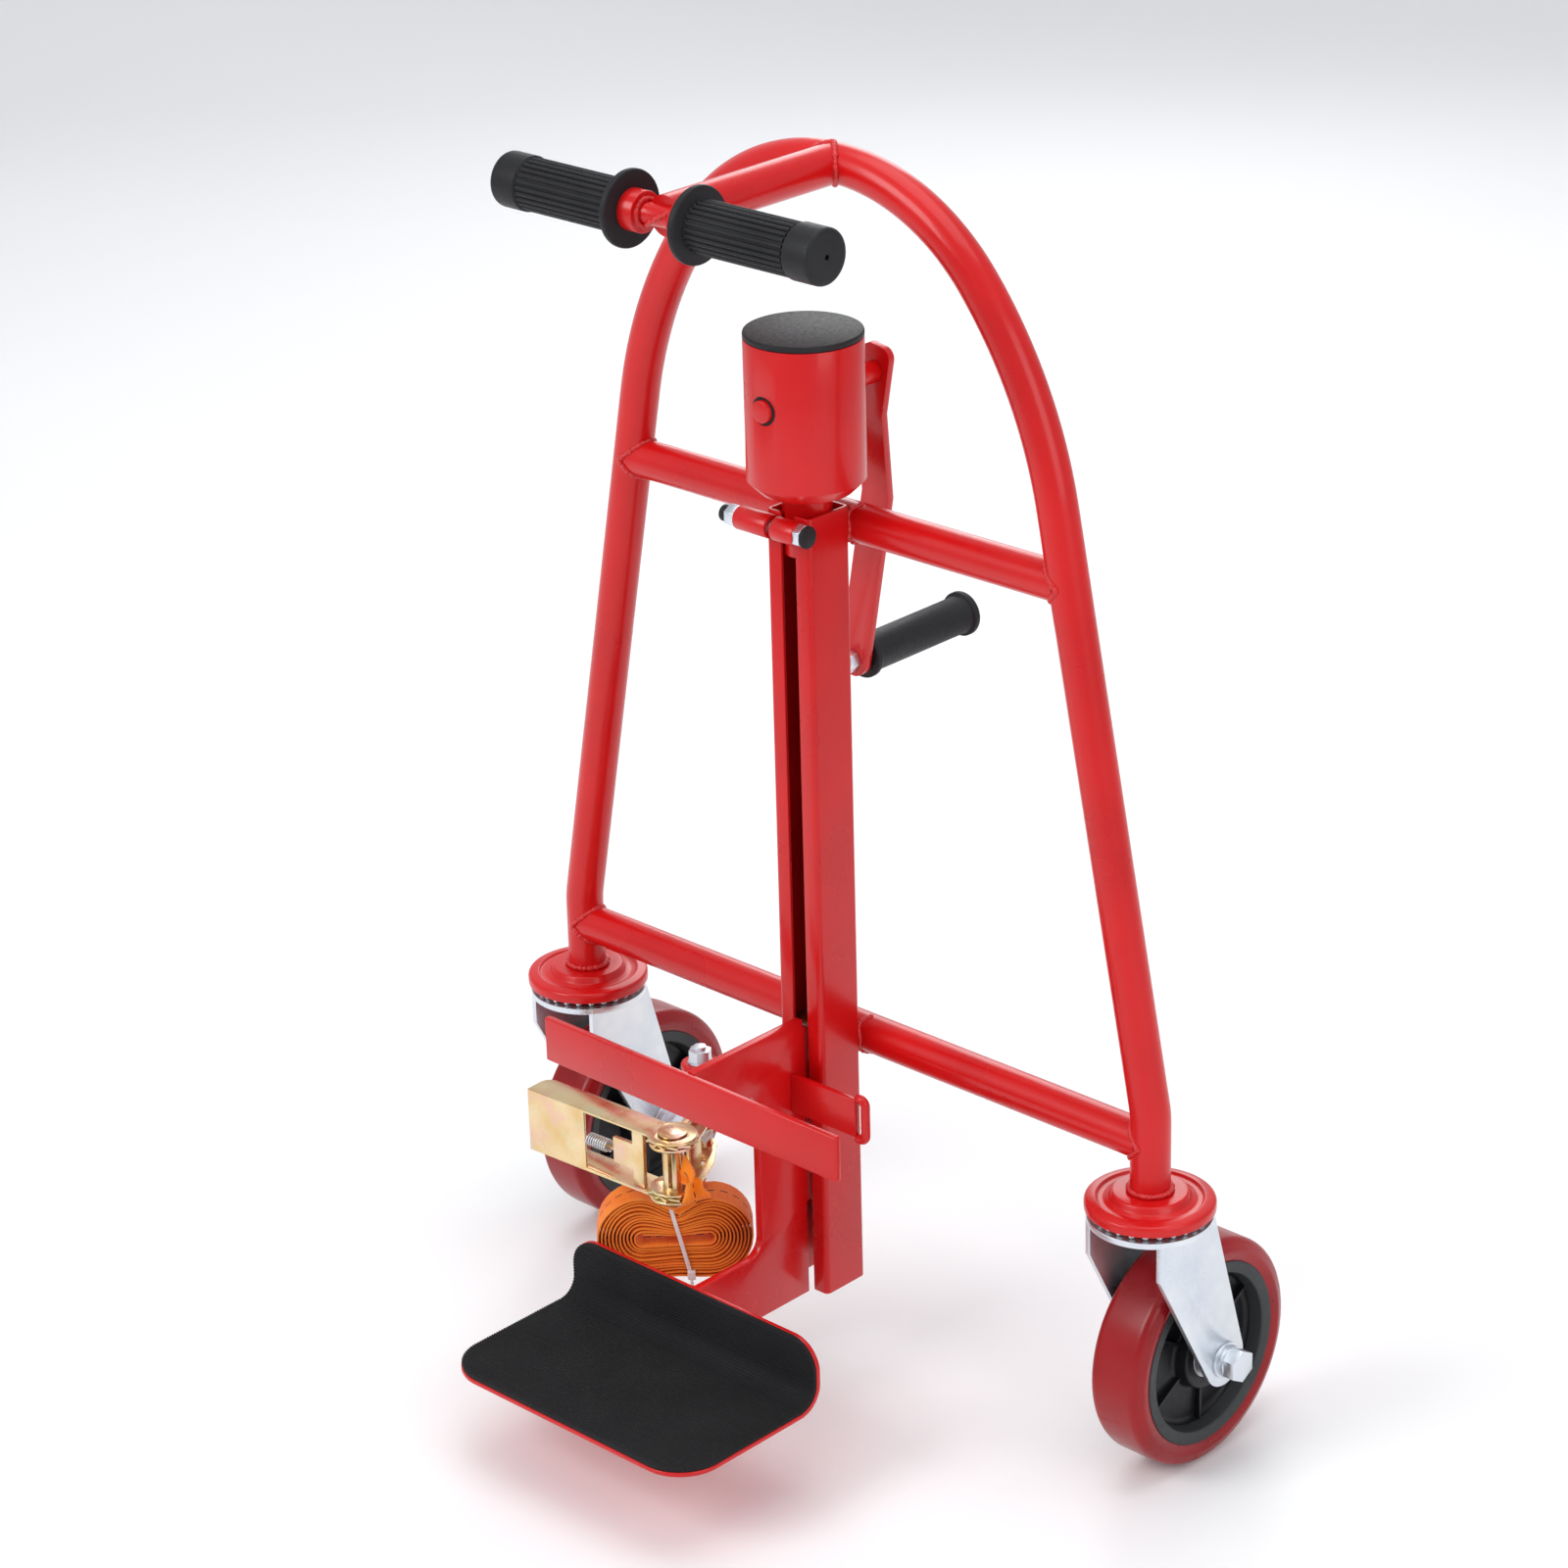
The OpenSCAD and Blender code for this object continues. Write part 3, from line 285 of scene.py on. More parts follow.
def orange_webbing():
    f = Finish("orange_webbing", Sheen_Weight=0.08, Sheen_Roughness=0.5, Specular_IOR_Level=0.2)
    uv = f.uv()
    across, along = f.part(uv, "X"), f.part(uv, "Y")
    rib = ((along * 2 * math.pi / 0.0011).math("SINE") + 1) * 0.5
    warp = ((across * 2 * math.pi * 16).math("SINE") + 1) * 0.5
    edge = (across - 0.5).math("ABSOLUTE").fit(0.40, 0.46)
    dash = ((along / 0.0085).math("FRACT") < 0.58) * ((across - 0.5).math("ABSOLUTE") < 0.022)
    cloud = f.noise(60, 4)
    base = f.mix(cloud.fit(0.3, 0.7), (0.97, 0.19, 0.004), (1.0, 0.28, 0.010))
    # painted highlight: the strap's outer edges are lightened in colour where light catches them
    base = f.mix(edge * 0.35, base, (1.0, 0.40, 0.09))
    # painted shade: the troughs of the woven ribs are darkened in colour, on top of the ribs' bump
    base = f.mix((1 - rib) * 0.22, base, (0.75, 0.12, 0.006))
    f.feed("Base Color", f.mix(dash, base, (0.03, 0.012, 0.008)))
    f.feed("Roughness", rib.fit(0, 1, 0.72, 0.55))
    f.feed("Normal", f.bump(rib * 0.7 + warp * 0.3 + edge * 0.5, 0.00022, 0.7))
    return f.mat


def white_nylon():
    f = Finish("white_nylon", Subsurface_Weight=0.1, Subsurface_Scale=0.002)
    f.feed("Base Color", f.mix(f.noise(80, 3), (0.74, 0.73, 0.70), (0.86, 0.85, 0.83)))
    f.feed("Roughness", f.noise(200).fit(0.3, 0.7, 0.32, 0.46))
    f.feed("Normal", f.bump(f.noise(500), 0.00006, 0.4))
    return f.mat


PAINT, WELD, ZINC, YELLOW = red_powder_coat(), weld_red(), bright_zinc(), yellow_zinc()
STEEL, BRONZE, TREAD = turned_steel(), bronze(), red_tread()
GRIP = soft_black("grip_rubber", (0.008, 0.008, 0.010), (0.016, 0.016, 0.018), 0.46, 700, 0.00016)
MAT = soft_black("mat_rubber", (0.0065, 0.0065, 0.0075), (0.011, 0.011, 0.012), 0.62, 500, 0.0002)
SATIN = soft_black("satin_plastic", (0.010, 0.010, 0.012), (0.017, 0.017, 0.019), 0.50, 380, 0.00008)
HUB = soft_black("hub_nylon", (0.006, 0.006, 0.008), (0.014, 0.014, 0.016), 0.34, 260, 0.0001)
RIM = soft_black("rim_nylon", (0.026, 0.029, 0.030), (0.040, 0.044, 0.045), 0.42, 260, 0.0001)
WEBBING, NYLON = orange_webbing(), white_nylon()


# ---------- making meshes ----------
def piece(name, bm, material, body, replaces=(), crease=38, doubles=0.0):
    if doubles:
        bmesh.ops.remove_doubles(bm, verts=bm.verts, dist=doubles)
    mesh = bpy.data.meshes.new(name)
    bm.to_mesh(mesh)
    bm.free()
    mesh.shade_smooth()
    mesh.set_sharp_from_angle(angle=math.radians(crease))
    obj = bpy.data.objects.new(name, mesh)
    bpy.context.scene.collection.objects.link(obj)
    for m in material if isinstance(material, (list, tuple)) else [material]:
        mesh.materials.append(m)
    return settle(obj, body, replaces)


def settle(obj, body, replaces=()):
    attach(obj, body)
    if replaces:
        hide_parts(*([replaces] if isinstance(replaces, str) else replaces))
    return obj


def polished(name, source, edge, material, body, angle=28, segments=2):
    """The CAD piece with its sharp edges broken, as deburred metal or moulded plastic has them."""
    bm = bmesh.new()
    bm.from_mesh(node[source].data)
    bmesh.ops.remove_doubles(bm, verts=bm.verts, dist=4e-6)
    bmesh.ops.dissolve_limit(bm, angle_limit=math.radians(0.6), verts=bm.verts, edges=bm.edges)
    sharp = [e for e in bm.edges if len(e.link_faces) == 2 and e.calc_face_angle(0) > math.radians(angle)]
    bmesh.ops.bevel(bm, geom=sharp, offset=edge, offset_type="OFFSET", segments=segments,
                    profile=0.5, affect="EDGES", clamp_overlap=True)
    return piece(name, bm, material, body, source)


def frames_along(points, closed=False):
    """A turning frame at each point that doesn't twist: tangent, side, up."""
    n = len(points)
    tangents = []
    for i in range(n):
        a = points[(i - 1) % n] if closed or i else points[0]
        b = points[(i + 1) % n] if closed or i < n - 1 else points[-1]
        tangents.append((b - a).normalized())
    up = tangents[0].orthogonal().normalized()
    out = []
    for t in tangents:
        up = (up - t * up.dot(t)).normalized()
        out.append((t, t.cross(up), up))
    return out


def tube(bm, points, radius, around=32, closed=False, caps=True):
    """A round tube along the points; radius is a number or one for each point."""
    rings = []
    for i, (p, (t, side, up)) in enumerate(zip(points, frames_along(points, closed))):
        r = radius[i] if isinstance(radius, (list, tuple)) else radius
        rings.append([bm.verts.new(p + (side * math.cos(a) + up * math.sin(a)) * r)
                      for a in (2 * math.pi * k / around for k in range(around))])
    pairs = list(zip(rings, rings[1:])) + ([(rings[-1], rings[0])] if closed else [])
    for a, b in pairs:
        for k in range(around):
            bm.faces.new((a[k], a[(k + 1) % around], b[(k + 1) % around], b[k]))
    if caps and not closed:
        bm.faces.new(rings[0][::-1])
        bm.faces.new(rings[-1])
    return rings


def lathe(bm, profile, centre, axis="Z", around=96, closed=False, mat=0):
    """Turns (radius, height) points about an axis through centre; material by index."""
    turn = {"Z": Matrix.Identity(3), "X": Matrix(((0, 0, 1), (0, 1, 0), (-1, 0, 0))),
            "Y": Matrix(((1, 0, 0), (0, 0, 1), (0, -1, 0)))}[axis]
    rings = []
    for r, h in profile:
        if r < 1e-7:
            rings.append([bm.verts.new(Vector(centre) + turn @ Vector((0, 0, h)))])
        else:
            rings.append([bm.verts.new(Vector(centre) + turn @ Vector((r * math.cos(a), r * math.sin(a), h)))
                          for a in (2 * math.pi * k / around for k in range(around))])
    pairs = list(zip(rings, rings[1:])) + ([(rings[-1], rings[0])] if closed else [])
    made = []
    for a, b in pairs:
        for k in range(around):
            m = (k + 1) % around
            if len(a) == 1 and len(b) == 1:
                continue
            if len(a) == 1:
                made.append(bm.faces.new((a[0], b[m], b[k])))
            elif len(b) == 1:
                made.append(bm.faces.new((a[k], a[m], b[0])))
            else:
                made.append(bm.faces.new((a[k], a[m], b[m], b[k])))
    for f in made:
        f.material_index = mat
    return made


def outward(bm):
    bmesh.ops.recalc_face_normals(bm, faces=bm.faces)


def rounded(points, radius, steps=5):
    """A polygon's corners rounded; points are (r, h) and radius one number or one each."""
    out = []
    n = len(points)
    for i in range(n):
        p, a, b = Vector(points[i]), Vector(points[i - 1]), Vector(points[(i + 1) % n])
        r = radius[i] if isinstance(radius, (list, tuple)) else radius
        if r <= 0:
            out.append(tuple(p))
            continue
        u, v = (a - p).normalized(), (b - p).normalized()
        half = math.acos(max(-1, min(1, u.dot(v)))) / 2
        cut = min(r / math.tan(half), (a - p).length * 0.49, (b - p).length * 0.49)
        s, e = p + u * cut, p + v * cut
        for k in range(steps + 1):
            w = k / steps
            out.append(tuple(s * (1 - w) ** 2 + p * 2 * w * (1 - w) + e * w ** 2))
    return out


# ---------- geometry node trees ----------
class Tree:
    """A small geometry-node tree whose sizes are named inputs."""

    def __init__(self, name, sizes):
        self.t = bpy.data.node_groups.new(name, "GeometryNodeTree")
        self.t.interface.new_socket("Geometry", in_out="OUTPUT", socket_type="NodeSocketGeometry")
        self.t.interface.new_socket("Geometry", in_out="INPUT", socket_type="NodeSocketGeometry")
        self.ids = {}
        for k, v in sizes.items():
            kind = "NodeSocketInt" if isinstance(v, int) else "NodeSocketFloat"
            s = self.t.interface.new_socket(k, in_out="INPUT", socket_type=kind)
            s.default_value = v
            self.ids[k] = s.identifier
        self.inp = self.t.nodes.new("NodeGroupInput")
        self.out = self.t.nodes.new("NodeGroupOutput")

    def size(self, name):
        return self.inp.outputs[name]

    def add(self, kind, settings=(), **inputs):
        n = self.t.nodes.new("GeometryNode" + kind if not kind.startswith(("Shader", "Function")) else kind)
        for k, v in dict(settings).items():
            setattr(n, k, v)
        for k, v in inputs.items():
            key = k.replace("_", " ")
            s = n.inputs[int(key[1:])] if key[0] == "i" and key[1:].isdigit() else n.inputs[key]
            if isinstance(v, bpy.types.NodeSocket):
                self.t.links.new(v, s)
            else:
                s.default_value = v
        return n

    def finish(self, geometry, material):
        real = self.add("RealizeInstances", Geometry=geometry)
        done = self.add("SetMaterial", Geometry=real.outputs[0], Material=material)
        self.t.links.new(done.outputs[0], self.out.inputs[0])


def grown(name, tree, values, body, replaces=(), place=None, start=None, crease=38):
    """Runs a tree on a start mesh or curve and keeps the plain mesh it makes."""
    data = start or bpy.data.meshes.new(name + "_seed")
    seed = bpy.data.objects.new(name + "_seed", data)
    bpy.context.scene.collection.objects.link(seed)
    mod = seed.modifiers.new("grow", "NODES")
    mod.node_group = tree.t
    for k, v in values.items():
        mod[tree.ids[k]] = v
    bpy.context.view_layer.update()
    deps = bpy.context.evaluated_depsgraph_get()
    mesh = bpy.data.meshes.new_from_object(seed.evaluated_get(deps))
    mesh.name = name
    bpy.data.objects.remove(seed)
    if place is not None:
        mesh.transform(place)
    mesh.shade_smooth()
    mesh.set_sharp_from_angle(angle=math.radians(crease))
    obj = bpy.data.objects.new(name, mesh)
    bpy.context.scene.collection.objects.link(obj)
    return settle(obj, body, replaces)


def path_curve(name, points, closed=False):
    c = bpy.data.curves.new(name, "CURVE")
    c.dimensions = "3D"
    s = c.splines.new("POLY")
    s.points.add(len(points) - 1)
    for q, p in zip(s.points, points):
        q.co = (*p, 1)
    s.use_cyclic_u = closed
    return c


def bead_tree(material):
    """Overlapping flattened blobs along a path: a weld laid in small steps."""
    t = Tree("weld_bead", {"step": 0.0018, "bead": 0.0020, "seed": 3})
    spaced = t.add("ResampleCurve", {"mode": "LENGTH"}, Curve=t.inp.outputs[0], Length=t.size("step"))
    blob = t.add("MeshIcoSphere", Radius=t.size("bead"), Subdivisions=2)
    wobble = t.add("FunctionNodeRandomValue", {"data_type": "FLOAT"}, i2=0.78, i3=1.16, Seed=t.size("seed"))
    put_on = t.add("InstanceOnPoints", Points=spaced.outputs[0], Instance=blob.outputs[0],
                   Scale=wobble.outputs[1])
    t.finish(put_on.outputs[0], material)
    return t


def coil_tree(material):
    """A coil spring of round wire."""
    t = Tree("coil_spring", {"turns": 7.0, "length": 0.02, "radius": 0.0036, "wire": 0.0005})
    spiral = t.add("CurveSpiral", Resolution=28, Rotations=t.size("turns"), Start_Radius=t.size("radius"),
                   End_Radius=t.size("radius"), Height=t.size("length"))
    ring = t.add("CurvePrimitiveCircle", Resolution=8, Radius=t.size("wire"))
    wire = t.add("CurveToMesh", Curve=spiral.outputs[0], Profile_Curve=ring.outputs[0], Fill_Caps=True)
    t.finish(wire.outputs[0], material)
    return t


def ring_tree(name, material):
    """Round pieces spaced evenly on a circle, such as a race's balls."""
    t = Tree(name, {"count": 26, "circle": 0.0345, "ball": 0.0026})
    circle = t.add("MeshCircle", Vertices=t.size("count"), Radius=t.size("circle"))
    ball = t.add("MeshUVSphere", Segments=16, Rings=10, Radius=t.size("ball"))
    put_on = t.add("InstanceOnPoints", Points=circle.outputs[0], Instance=ball.outputs[0])
    t.finish(put_on.outputs[0], material)
    return t


# ---------- which body and finish each CAD piece has ----------
record = frame["record"]
BODY = {n: b for b, names in record["behaviour"]["bodies"].items() for n in names}
SLOT = {s["node"]: s["material_slot"] for s in record["subparts"]}
FINISH = {"red_paint": PAINT, "zinc": ZINC, "yellow_zinc": YELLOW, "steel": STEEL, "bronze": BRONZE,
          "grip_rubber": GRIP, "mat_rubber": MAT, "black_plastic": SATIN, "red_tread": TREAD,
          "hub_plastic": HUB, "webbing": WEBBING, "white_plastic": NYLON}
MM = 0.001

# ---------- pieces kept in their CAD shape, with their edges broken ----------
EDGES = {
    "handle_bar": 0.6, "column": 0.5, "gear_housing": 1.2, "housing_cap": 1.3, "clamp_bosses": 0.8,
    "clamp_bolt": 0.5, "clamp_caps": 1.0, "shaft_bushes": 0.3, "screw_bearings": 0.4, "screw_gear": 0.4,
    "crank_shaft": 0.5, "crank_gear": 0.4, "crank_arm": 0.9, "crank_bolt": 0.5, "crank_grip": 1.4,
    "slide_block": 0.6, "lift_nut": 0.6, "gusset_plate": 0.7, "load_bar": 0.9, "toe_plate": 0.6,
    "toe_mat": 0.45, "ear_bracket": 0.7, "tie_arm": 0.6, "tie_loop": 0.4, "ratchet_bolt": 0.45,
    "ratchet_frame": 0.45, "ratchet_handle": 0.5, "drive_pawl": 0.4, "lock_pawl": 0.4, "ratchet_spool": 0.3,
    "left_kingpin": 0.5, "right_kingpin": 0.5, "left_fork": 0.9, "right_fork": 0.9,
    "left_axle_bolt": 0.5, "right_axle_bolt": 0.5, "left_axle_fittings": 0.6, "right_axle_fittings": 0.6,
    "left_bearings": 0.5, "right_bearings": 0.5,
}
for cad, edge in EDGES.items():
    polished(cad + "_finished", cad, edge * MM, FINISH[SLOT[cad]], BODY[cad])

# ---------- the hoop: one bent tube, with its crossbars and handle stem ----------
FOOT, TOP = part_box("hoop_frame")[0].z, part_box("hoop_frame")[1].z - TUBE
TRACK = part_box("hoop_frame")[1].x - TUBE
CROWN_R, CROWN_HALF, SHOULDER_R, FOOT_R = 0.145, math.radians(50), 0.280, 0.060
UPPER_Z, LOWER_Z = mid("upper_crossbar").z, mid("lower_crossbar").z
crown_z = TOP - CROWN_R
SHOULDER_SHIFT = SHOULDER_R - CROWN_R
shoulder = Vector((-SHOULDER_SHIFT * math.sin(CROWN_HALF), crown_z - SHOULDER_SHIFT * math.cos(CROWN_HALF)))
foot = Vector((TRACK - FOOT_R, LOWER_Z + TUBE + 0.001))
gap = foot - shoulder
LEAVE = math.atan2(gap.x, gap.y) - math.acos((SHOULDER_R - FOOT_R) / gap.length)
LEAN = math.pi / 2 - LEAVE


def half_hoop_points():
    pts = [(CROWN_R * math.sin(a), crown_z + CROWN_R * math.cos(a)) for a in np.linspace(0, CROWN_HALF, 32)]
    pts += [(shoulder.x + SHOULDER_R * math.sin(a), shoulder.y + SHOULDER_R * math.cos(a))
            for a in np.linspace(CROWN_HALF, LEAVE, 26)[1:]]
    end = (foot.x + FOOT_R * math.cos(LEAN), foot.y + FOOT_R * math.sin(LEAN))
    pts += [tuple(Vector(pts[-1]).lerp(Vector(end), k / 14)) for k in range(1, 14)]
    pts += [(foot.x + FOOT_R * math.cos(a), foot.y + FOOT_R * math.sin(a)) for a in np.linspace(LEAN, 0, 12)]
    pts += [(TRACK, foot.y + (FOOT - foot.y) * k / 6) for k in range(1, 7)]
    return pts


half = half_hoop_points()
hoop_line = [Vector((-x, hoop_y, z)) for x, z in half[::-1]] + [Vector((x, hoop_y, z)) for x, z in half[1:]]
bm = bmesh.new()
tube(bm, hoop_line, TUBE, around=48)
outward(bm)
piece("hoop_tube", bm, PAINT, "frame", "hoop_frame")

leg_tangent = Vector((foot.x + FOOT_R * math.cos(LEAN), foot.y + FOOT_R * math.sin(LEAN)))


def leg_x(z):
    """The right leg's centreline above its bend."""
    return leg_tangent.x - (z - leg_tangent.y) * math.tan(LEAN)


for bar, z in (("upper_crossbar", UPPER_Z), ("lower_crossbar", LOWER_Z)):
    reach = (leg_x(z) if bar == "upper_crossbar" else TRACK) - 0.004
    bm = bmesh.new()
    tube(bm, [Vector((x, hoop_y, z)) for x in np.linspace(-reach, reach, 24)], TUBE - SKIN, around=48)
    outward(bm)
    piece(bar + "_tube", bm, PAINT, "frame", bar)

bm = bmesh.new()
stem_y = np.linspace(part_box("handle_stem")[0].y, hoop_y - 0.003, 14)
tube(bm, [Vector((0, y, TOP)) for y in stem_y], TUBE - SKIN, around=48)
outward(bm)
piece("stem_tube", bm, PAINT, "frame", "handle_stem")


# ---------- weld beads ----------
def butt(x_sign, z, lean):
    """Where a crossbar's end meets the side of a leg."""
    out = []
    for a in np.linspace(0, 2 * math.pi, 72, endpoint=False):
        dy, dz = TUBE * math.cos(a), TUBE * math.sin(a)
        centre = leg_x(z + dz) if lean else TRACK
        inset = math.sqrt(max(0, TUBE ** 2 - dy ** 2)) / (math.cos(LEAN) if lean else 1)
        out.append(Vector((x_sign * (centre - inset + 0.0004), hoop_y + dy, z + dz)))
    return out


def circle_line(centre, radius, axis, n=64):
    u, v = {"X": ((0, 1, 0), (0, 0, 1)), "Y": ((1, 0, 0), (0, 0, 1)), "Z": ((1, 0, 0), (0, 1, 0))}[axis]
    u, v = Vector(u), Vector(v)
    return [centre + (u * math.cos(a) + v * math.sin(a)) * radius
            for a in np.linspace(0, 2 * math.pi, n, endpoint=False)]


bead = bead_tree(WELD)
ROD, COLLAR_X = 0.0065, 0.0143      # radius of the handle's cross rod, and where it meets the two tubes


def weld(name, line, size=2.0, closed=True, body="frame", seed=1, step=1.5):
    grown(name, bead, {"step": step * MM, "bead": size * MM, "seed": seed}, body,
          start=path_curve(name, line, closed), crease=75)


for s, side in ((-1, "left"), (1, "right")):
    weld(side + "_upper_weld", butt(s, UPPER_Z, True), 1.9, seed=3 + s)
    weld(side + "_lower_weld", butt(s, LOWER_Z, False), 1.9, seed=7 + s)
    foot_ring = circle_line(Vector((s * TRACK, hoop_y, FOOT + 0.0008)), TUBE + 0.0006, "Z")
    weld(side + "_foot_weld", foot_ring, 2.0, seed=11 + s)
    collar_ring = circle_line(Vector((s * COLLAR_X, mid("handle_bar").y, TOP)), ROD + 0.0013, "X")
    weld(side + "_collar_weld", collar_ring, 2.1, seed=15 + s)
crown_line = []
for a in np.linspace(0, 2 * math.pi, 72, endpoint=False):
    dx, dz = TUBE * math.cos(a), TUBE * math.sin(a)
    drop = math.sqrt(max(0, TUBE ** 2 - min(TUBE, abs(dz)) ** 2))
    crown_line.append(Vector((dx, hoop_y - drop - 0.0004, TOP + dz)))
weld("stem_hoop_weld", crown_line, 1.9, seed=21)
rod_top = [Vector((x, mid("handle_bar").y + 0.0066 * math.cos(a), TOP + 0.0066 * math.sin(a)))
           for x, a in ((0.0125 * math.sin(t), t) for t in np.linspace(0, 2 * math.pi, 60, endpoint=False))]
weld("stem_rod_weld", rod_top, 1.7, seed=23)
col_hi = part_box("column")[1]
for z, tag in ((UPPER_Z, "upper"), (LOWER_Z, "lower")):
    for s, side in ((-1, "left"), (1, "right")):
        seam = [Vector((s * (0.0155 + 0.0018 * math.cos(4 * t)),
                        hoop_y - TUBE * math.cos(t) + 0.0002, z + TUBE * math.sin(t)))
                for t in np.linspace(-1.45, 1.45, 40)]
        weld(f"{side}_{tag}_column_weld", seam, 1.7, closed=False, seed=25 + s)
gus_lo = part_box("gusset_plate")[0]
bar_lo, bar_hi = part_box("load_bar")
for s, side in ((-1, "left"), (1, "right")):
    x = s * 0.0037
    bar_seam = [Vector((x, bar_hi.y + 0.0004, z))
                for z in np.linspace(bar_lo.z + 0.002, bar_hi.z - 0.002, 20)]
    weld(side + "_bar_weld", bar_seam, 1.5, closed=False, body="carriage", seed=31 + s)
    toe_seam = [Vector((x, gus_lo.y + 0.0012, z)) for z in np.linspace(gus_lo.z + 0.003, 0.1035, 24)]
    weld(side + "_toe_weld", toe_seam, 1.5, closed=False, body="carriage", seed=35 + s)
ear_lo, ear_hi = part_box("ear_bracket")
ear_y = np.linspace(ear_lo.y + 0.001, ear_hi.y - 0.001, 16)
weld("ear_weld", [Vector((-0.0036, y, ear_lo.z - 0.0002)) for y in ear_y],
     1.3, closed=False, body="carriage", seed=41)
weld("ear_top_weld", [Vector((-0.0036, y, ear_hi.z + 0.0002)) for y in ear_y],
     1.3, closed=False, body="carriage", seed=43)

# ---------- carry grips: fluted rubber over the handle tubes ----------
BORE, FLANGE, CORE, END, VENT = 12.55, 23.25, 14.7, 16.75, 1.6      # radii in millimetres
FLUTE_MID = 0.0685
for s, side in ((-1, "left"), (1, "right")):
    lo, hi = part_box(side + "_grip")
    start = min(abs(lo.x), abs(hi.x)) * 1000
    c = Vector((0, mid("handle_bar").y, TOP))
    bm = bmesh.new()
    # radius and distance from the grip's inner face, in millimetres
    outline = ((BORE, 0), (FLANGE, 0), (FLANGE, 4.2), (CORE, 5.6), (CORE, 81), (END, 82.5), (END, 102),
               (VENT, 102), (VENT, 98), (BORE, 96))
    shape = rounded([(r, start + h) for r, h in outline],
                    [0, 1.6, 1.8, 1.5, 0.8, 1.0, 3.2, 0.5, 0, 0])
    lathe(bm, [(r * MM, h * MM * s) for r, h in shape], c, "X", around=72, closed=True)
    outward(bm)
    piece(side + "_grip_rubber", bm, GRIP, "frame", side + "_grip")

flute = Tree("grip_flutes", {"count": 26, "circle": 0.0146, "rib": 0.0014, "long": 0.074})
circle = flute.add("MeshCircle", Vertices=flute.size("count"), Radius=flute.size("circle"))
rod = flute.add("MeshCylinder", Vertices=10, Side_Segments=1, Radius=flute.size("rib"),
                Depth=flute.size("long"))
put_on = flute.add("InstanceOnPoints", Points=circle.outputs[0], Instance=rod.outputs[0])
flute.finish(put_on.outputs[0], GRIP)
for s, side in ((-1, "left"), (1, "right")):
    place = (Matrix.Translation((s * FLUTE_MID, mid("handle_bar").y, TOP))
             @ Matrix.Rotation(math.pi / 2, 4, "Y"))
    grown(side + "_grip_flutes", flute, {"count": 26, "circle": 0.0147, "rib": 0.00135, "long": 0.0745},
          "frame", place=place)

# ---------- painted shade: dark rings round the two ends of the crank shaft, standing in for the shade in its bore ---
house_lo, house_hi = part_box("gear_housing")
for tag, y, way in (("front", house_lo.y + 0.0013, -1), ("rear", house_hi.y - 0.0013, 1)):
    bm = bmesh.new()
    shape = rounded([(7.1, -0.9), (8.9, -0.9), (8.9, 0.9), (7.1, 0.9)], 0.35, 3)
    lathe(bm, [(r * MM, h * MM * way) for r, h in shape], (0, y, crank_axis.z), "Y", around=48, closed=True)
    outward(bm)
    # a dark ring put where the bore shows only shade: painted shade
    piece(tag + "_bore_shade_ring", bm, SATIN, "frame")

# ---------- lead screw ----------
screw_lo, screw_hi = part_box("lead_screw")
bm = bmesh.new()
col_top = col_hi.z
ROOT_R, JOURNAL_R, PITCH = 0.0068, 0.006, 0.004
lathe(bm, [(0, screw_lo.z), (ROOT_R - 0.001, screw_lo.z), (ROOT_R, screw_lo.z + 0.0012), (ROOT_R, col_top),
           (JOURNAL_R, col_top + 0.0006), (JOURNAL_R, screw_hi.z - 0.0006), (JOURNAL_R - 0.0006, screw_hi.z),
           (0, screw_hi.z)], (0, column.y, 0), "Z", around=40)
outward(bm)
piece("screw_core", bm, STEEL, "screw", "lead_screw")
coil = coil_tree(STEEL)
thread_len = col_top - screw_lo.z - 0.004
grown("screw_thread", coil,
      {"turns": thread_len / PITCH, "length": thread_len, "radius": 0.0071, "wire": 0.00085},
      "screw", place=Matrix.Translation((0, column.y, screw_lo.z + 0.002)), crease=75)

# ---------- pawl springs ----------
spring = coil_tree(ZINC)
AIM = math.radians(115.7)              # from the spool to the ratchet's tail bolt
LEVER = AIM + math.radians(67.5)       # along the open handle
LOCK = AIM + math.radians(-12)         # along the lock pawl


def along(angle, out, side=0.0):
    """A point that far out from the spool's axis at that angle, and that far to its left."""
    c, s = math.cos(angle), math.sin(angle)
    return spool + Vector((c * out - s * side, s * out + c * side, 0))


def lying(at, angle):
    return Matrix.Translation(at) @ Matrix.Rotation(angle, 4, "Z") @ Matrix.Rotation(math.pi / 2, 4, "Y")


grown("drive_spring_coil", spring,
      {"turns": 9.0, "length": 0.0172, "radius": 0.0039, "wire": 0.00055}, "lever",
      "drive_spring", place=lying(along(LEVER, 0.0482, 0.007), LEVER), crease=75)
grown("lock_spring_coil", spring,
      {"turns": 6.0, "length": 0.0096, "radius": 0.0025, "wire": 0.00045}, "ratchet",
      "lock_spring", place=lying(along(LOCK, 0.0179 + 0.0188), LOCK), crease=75)

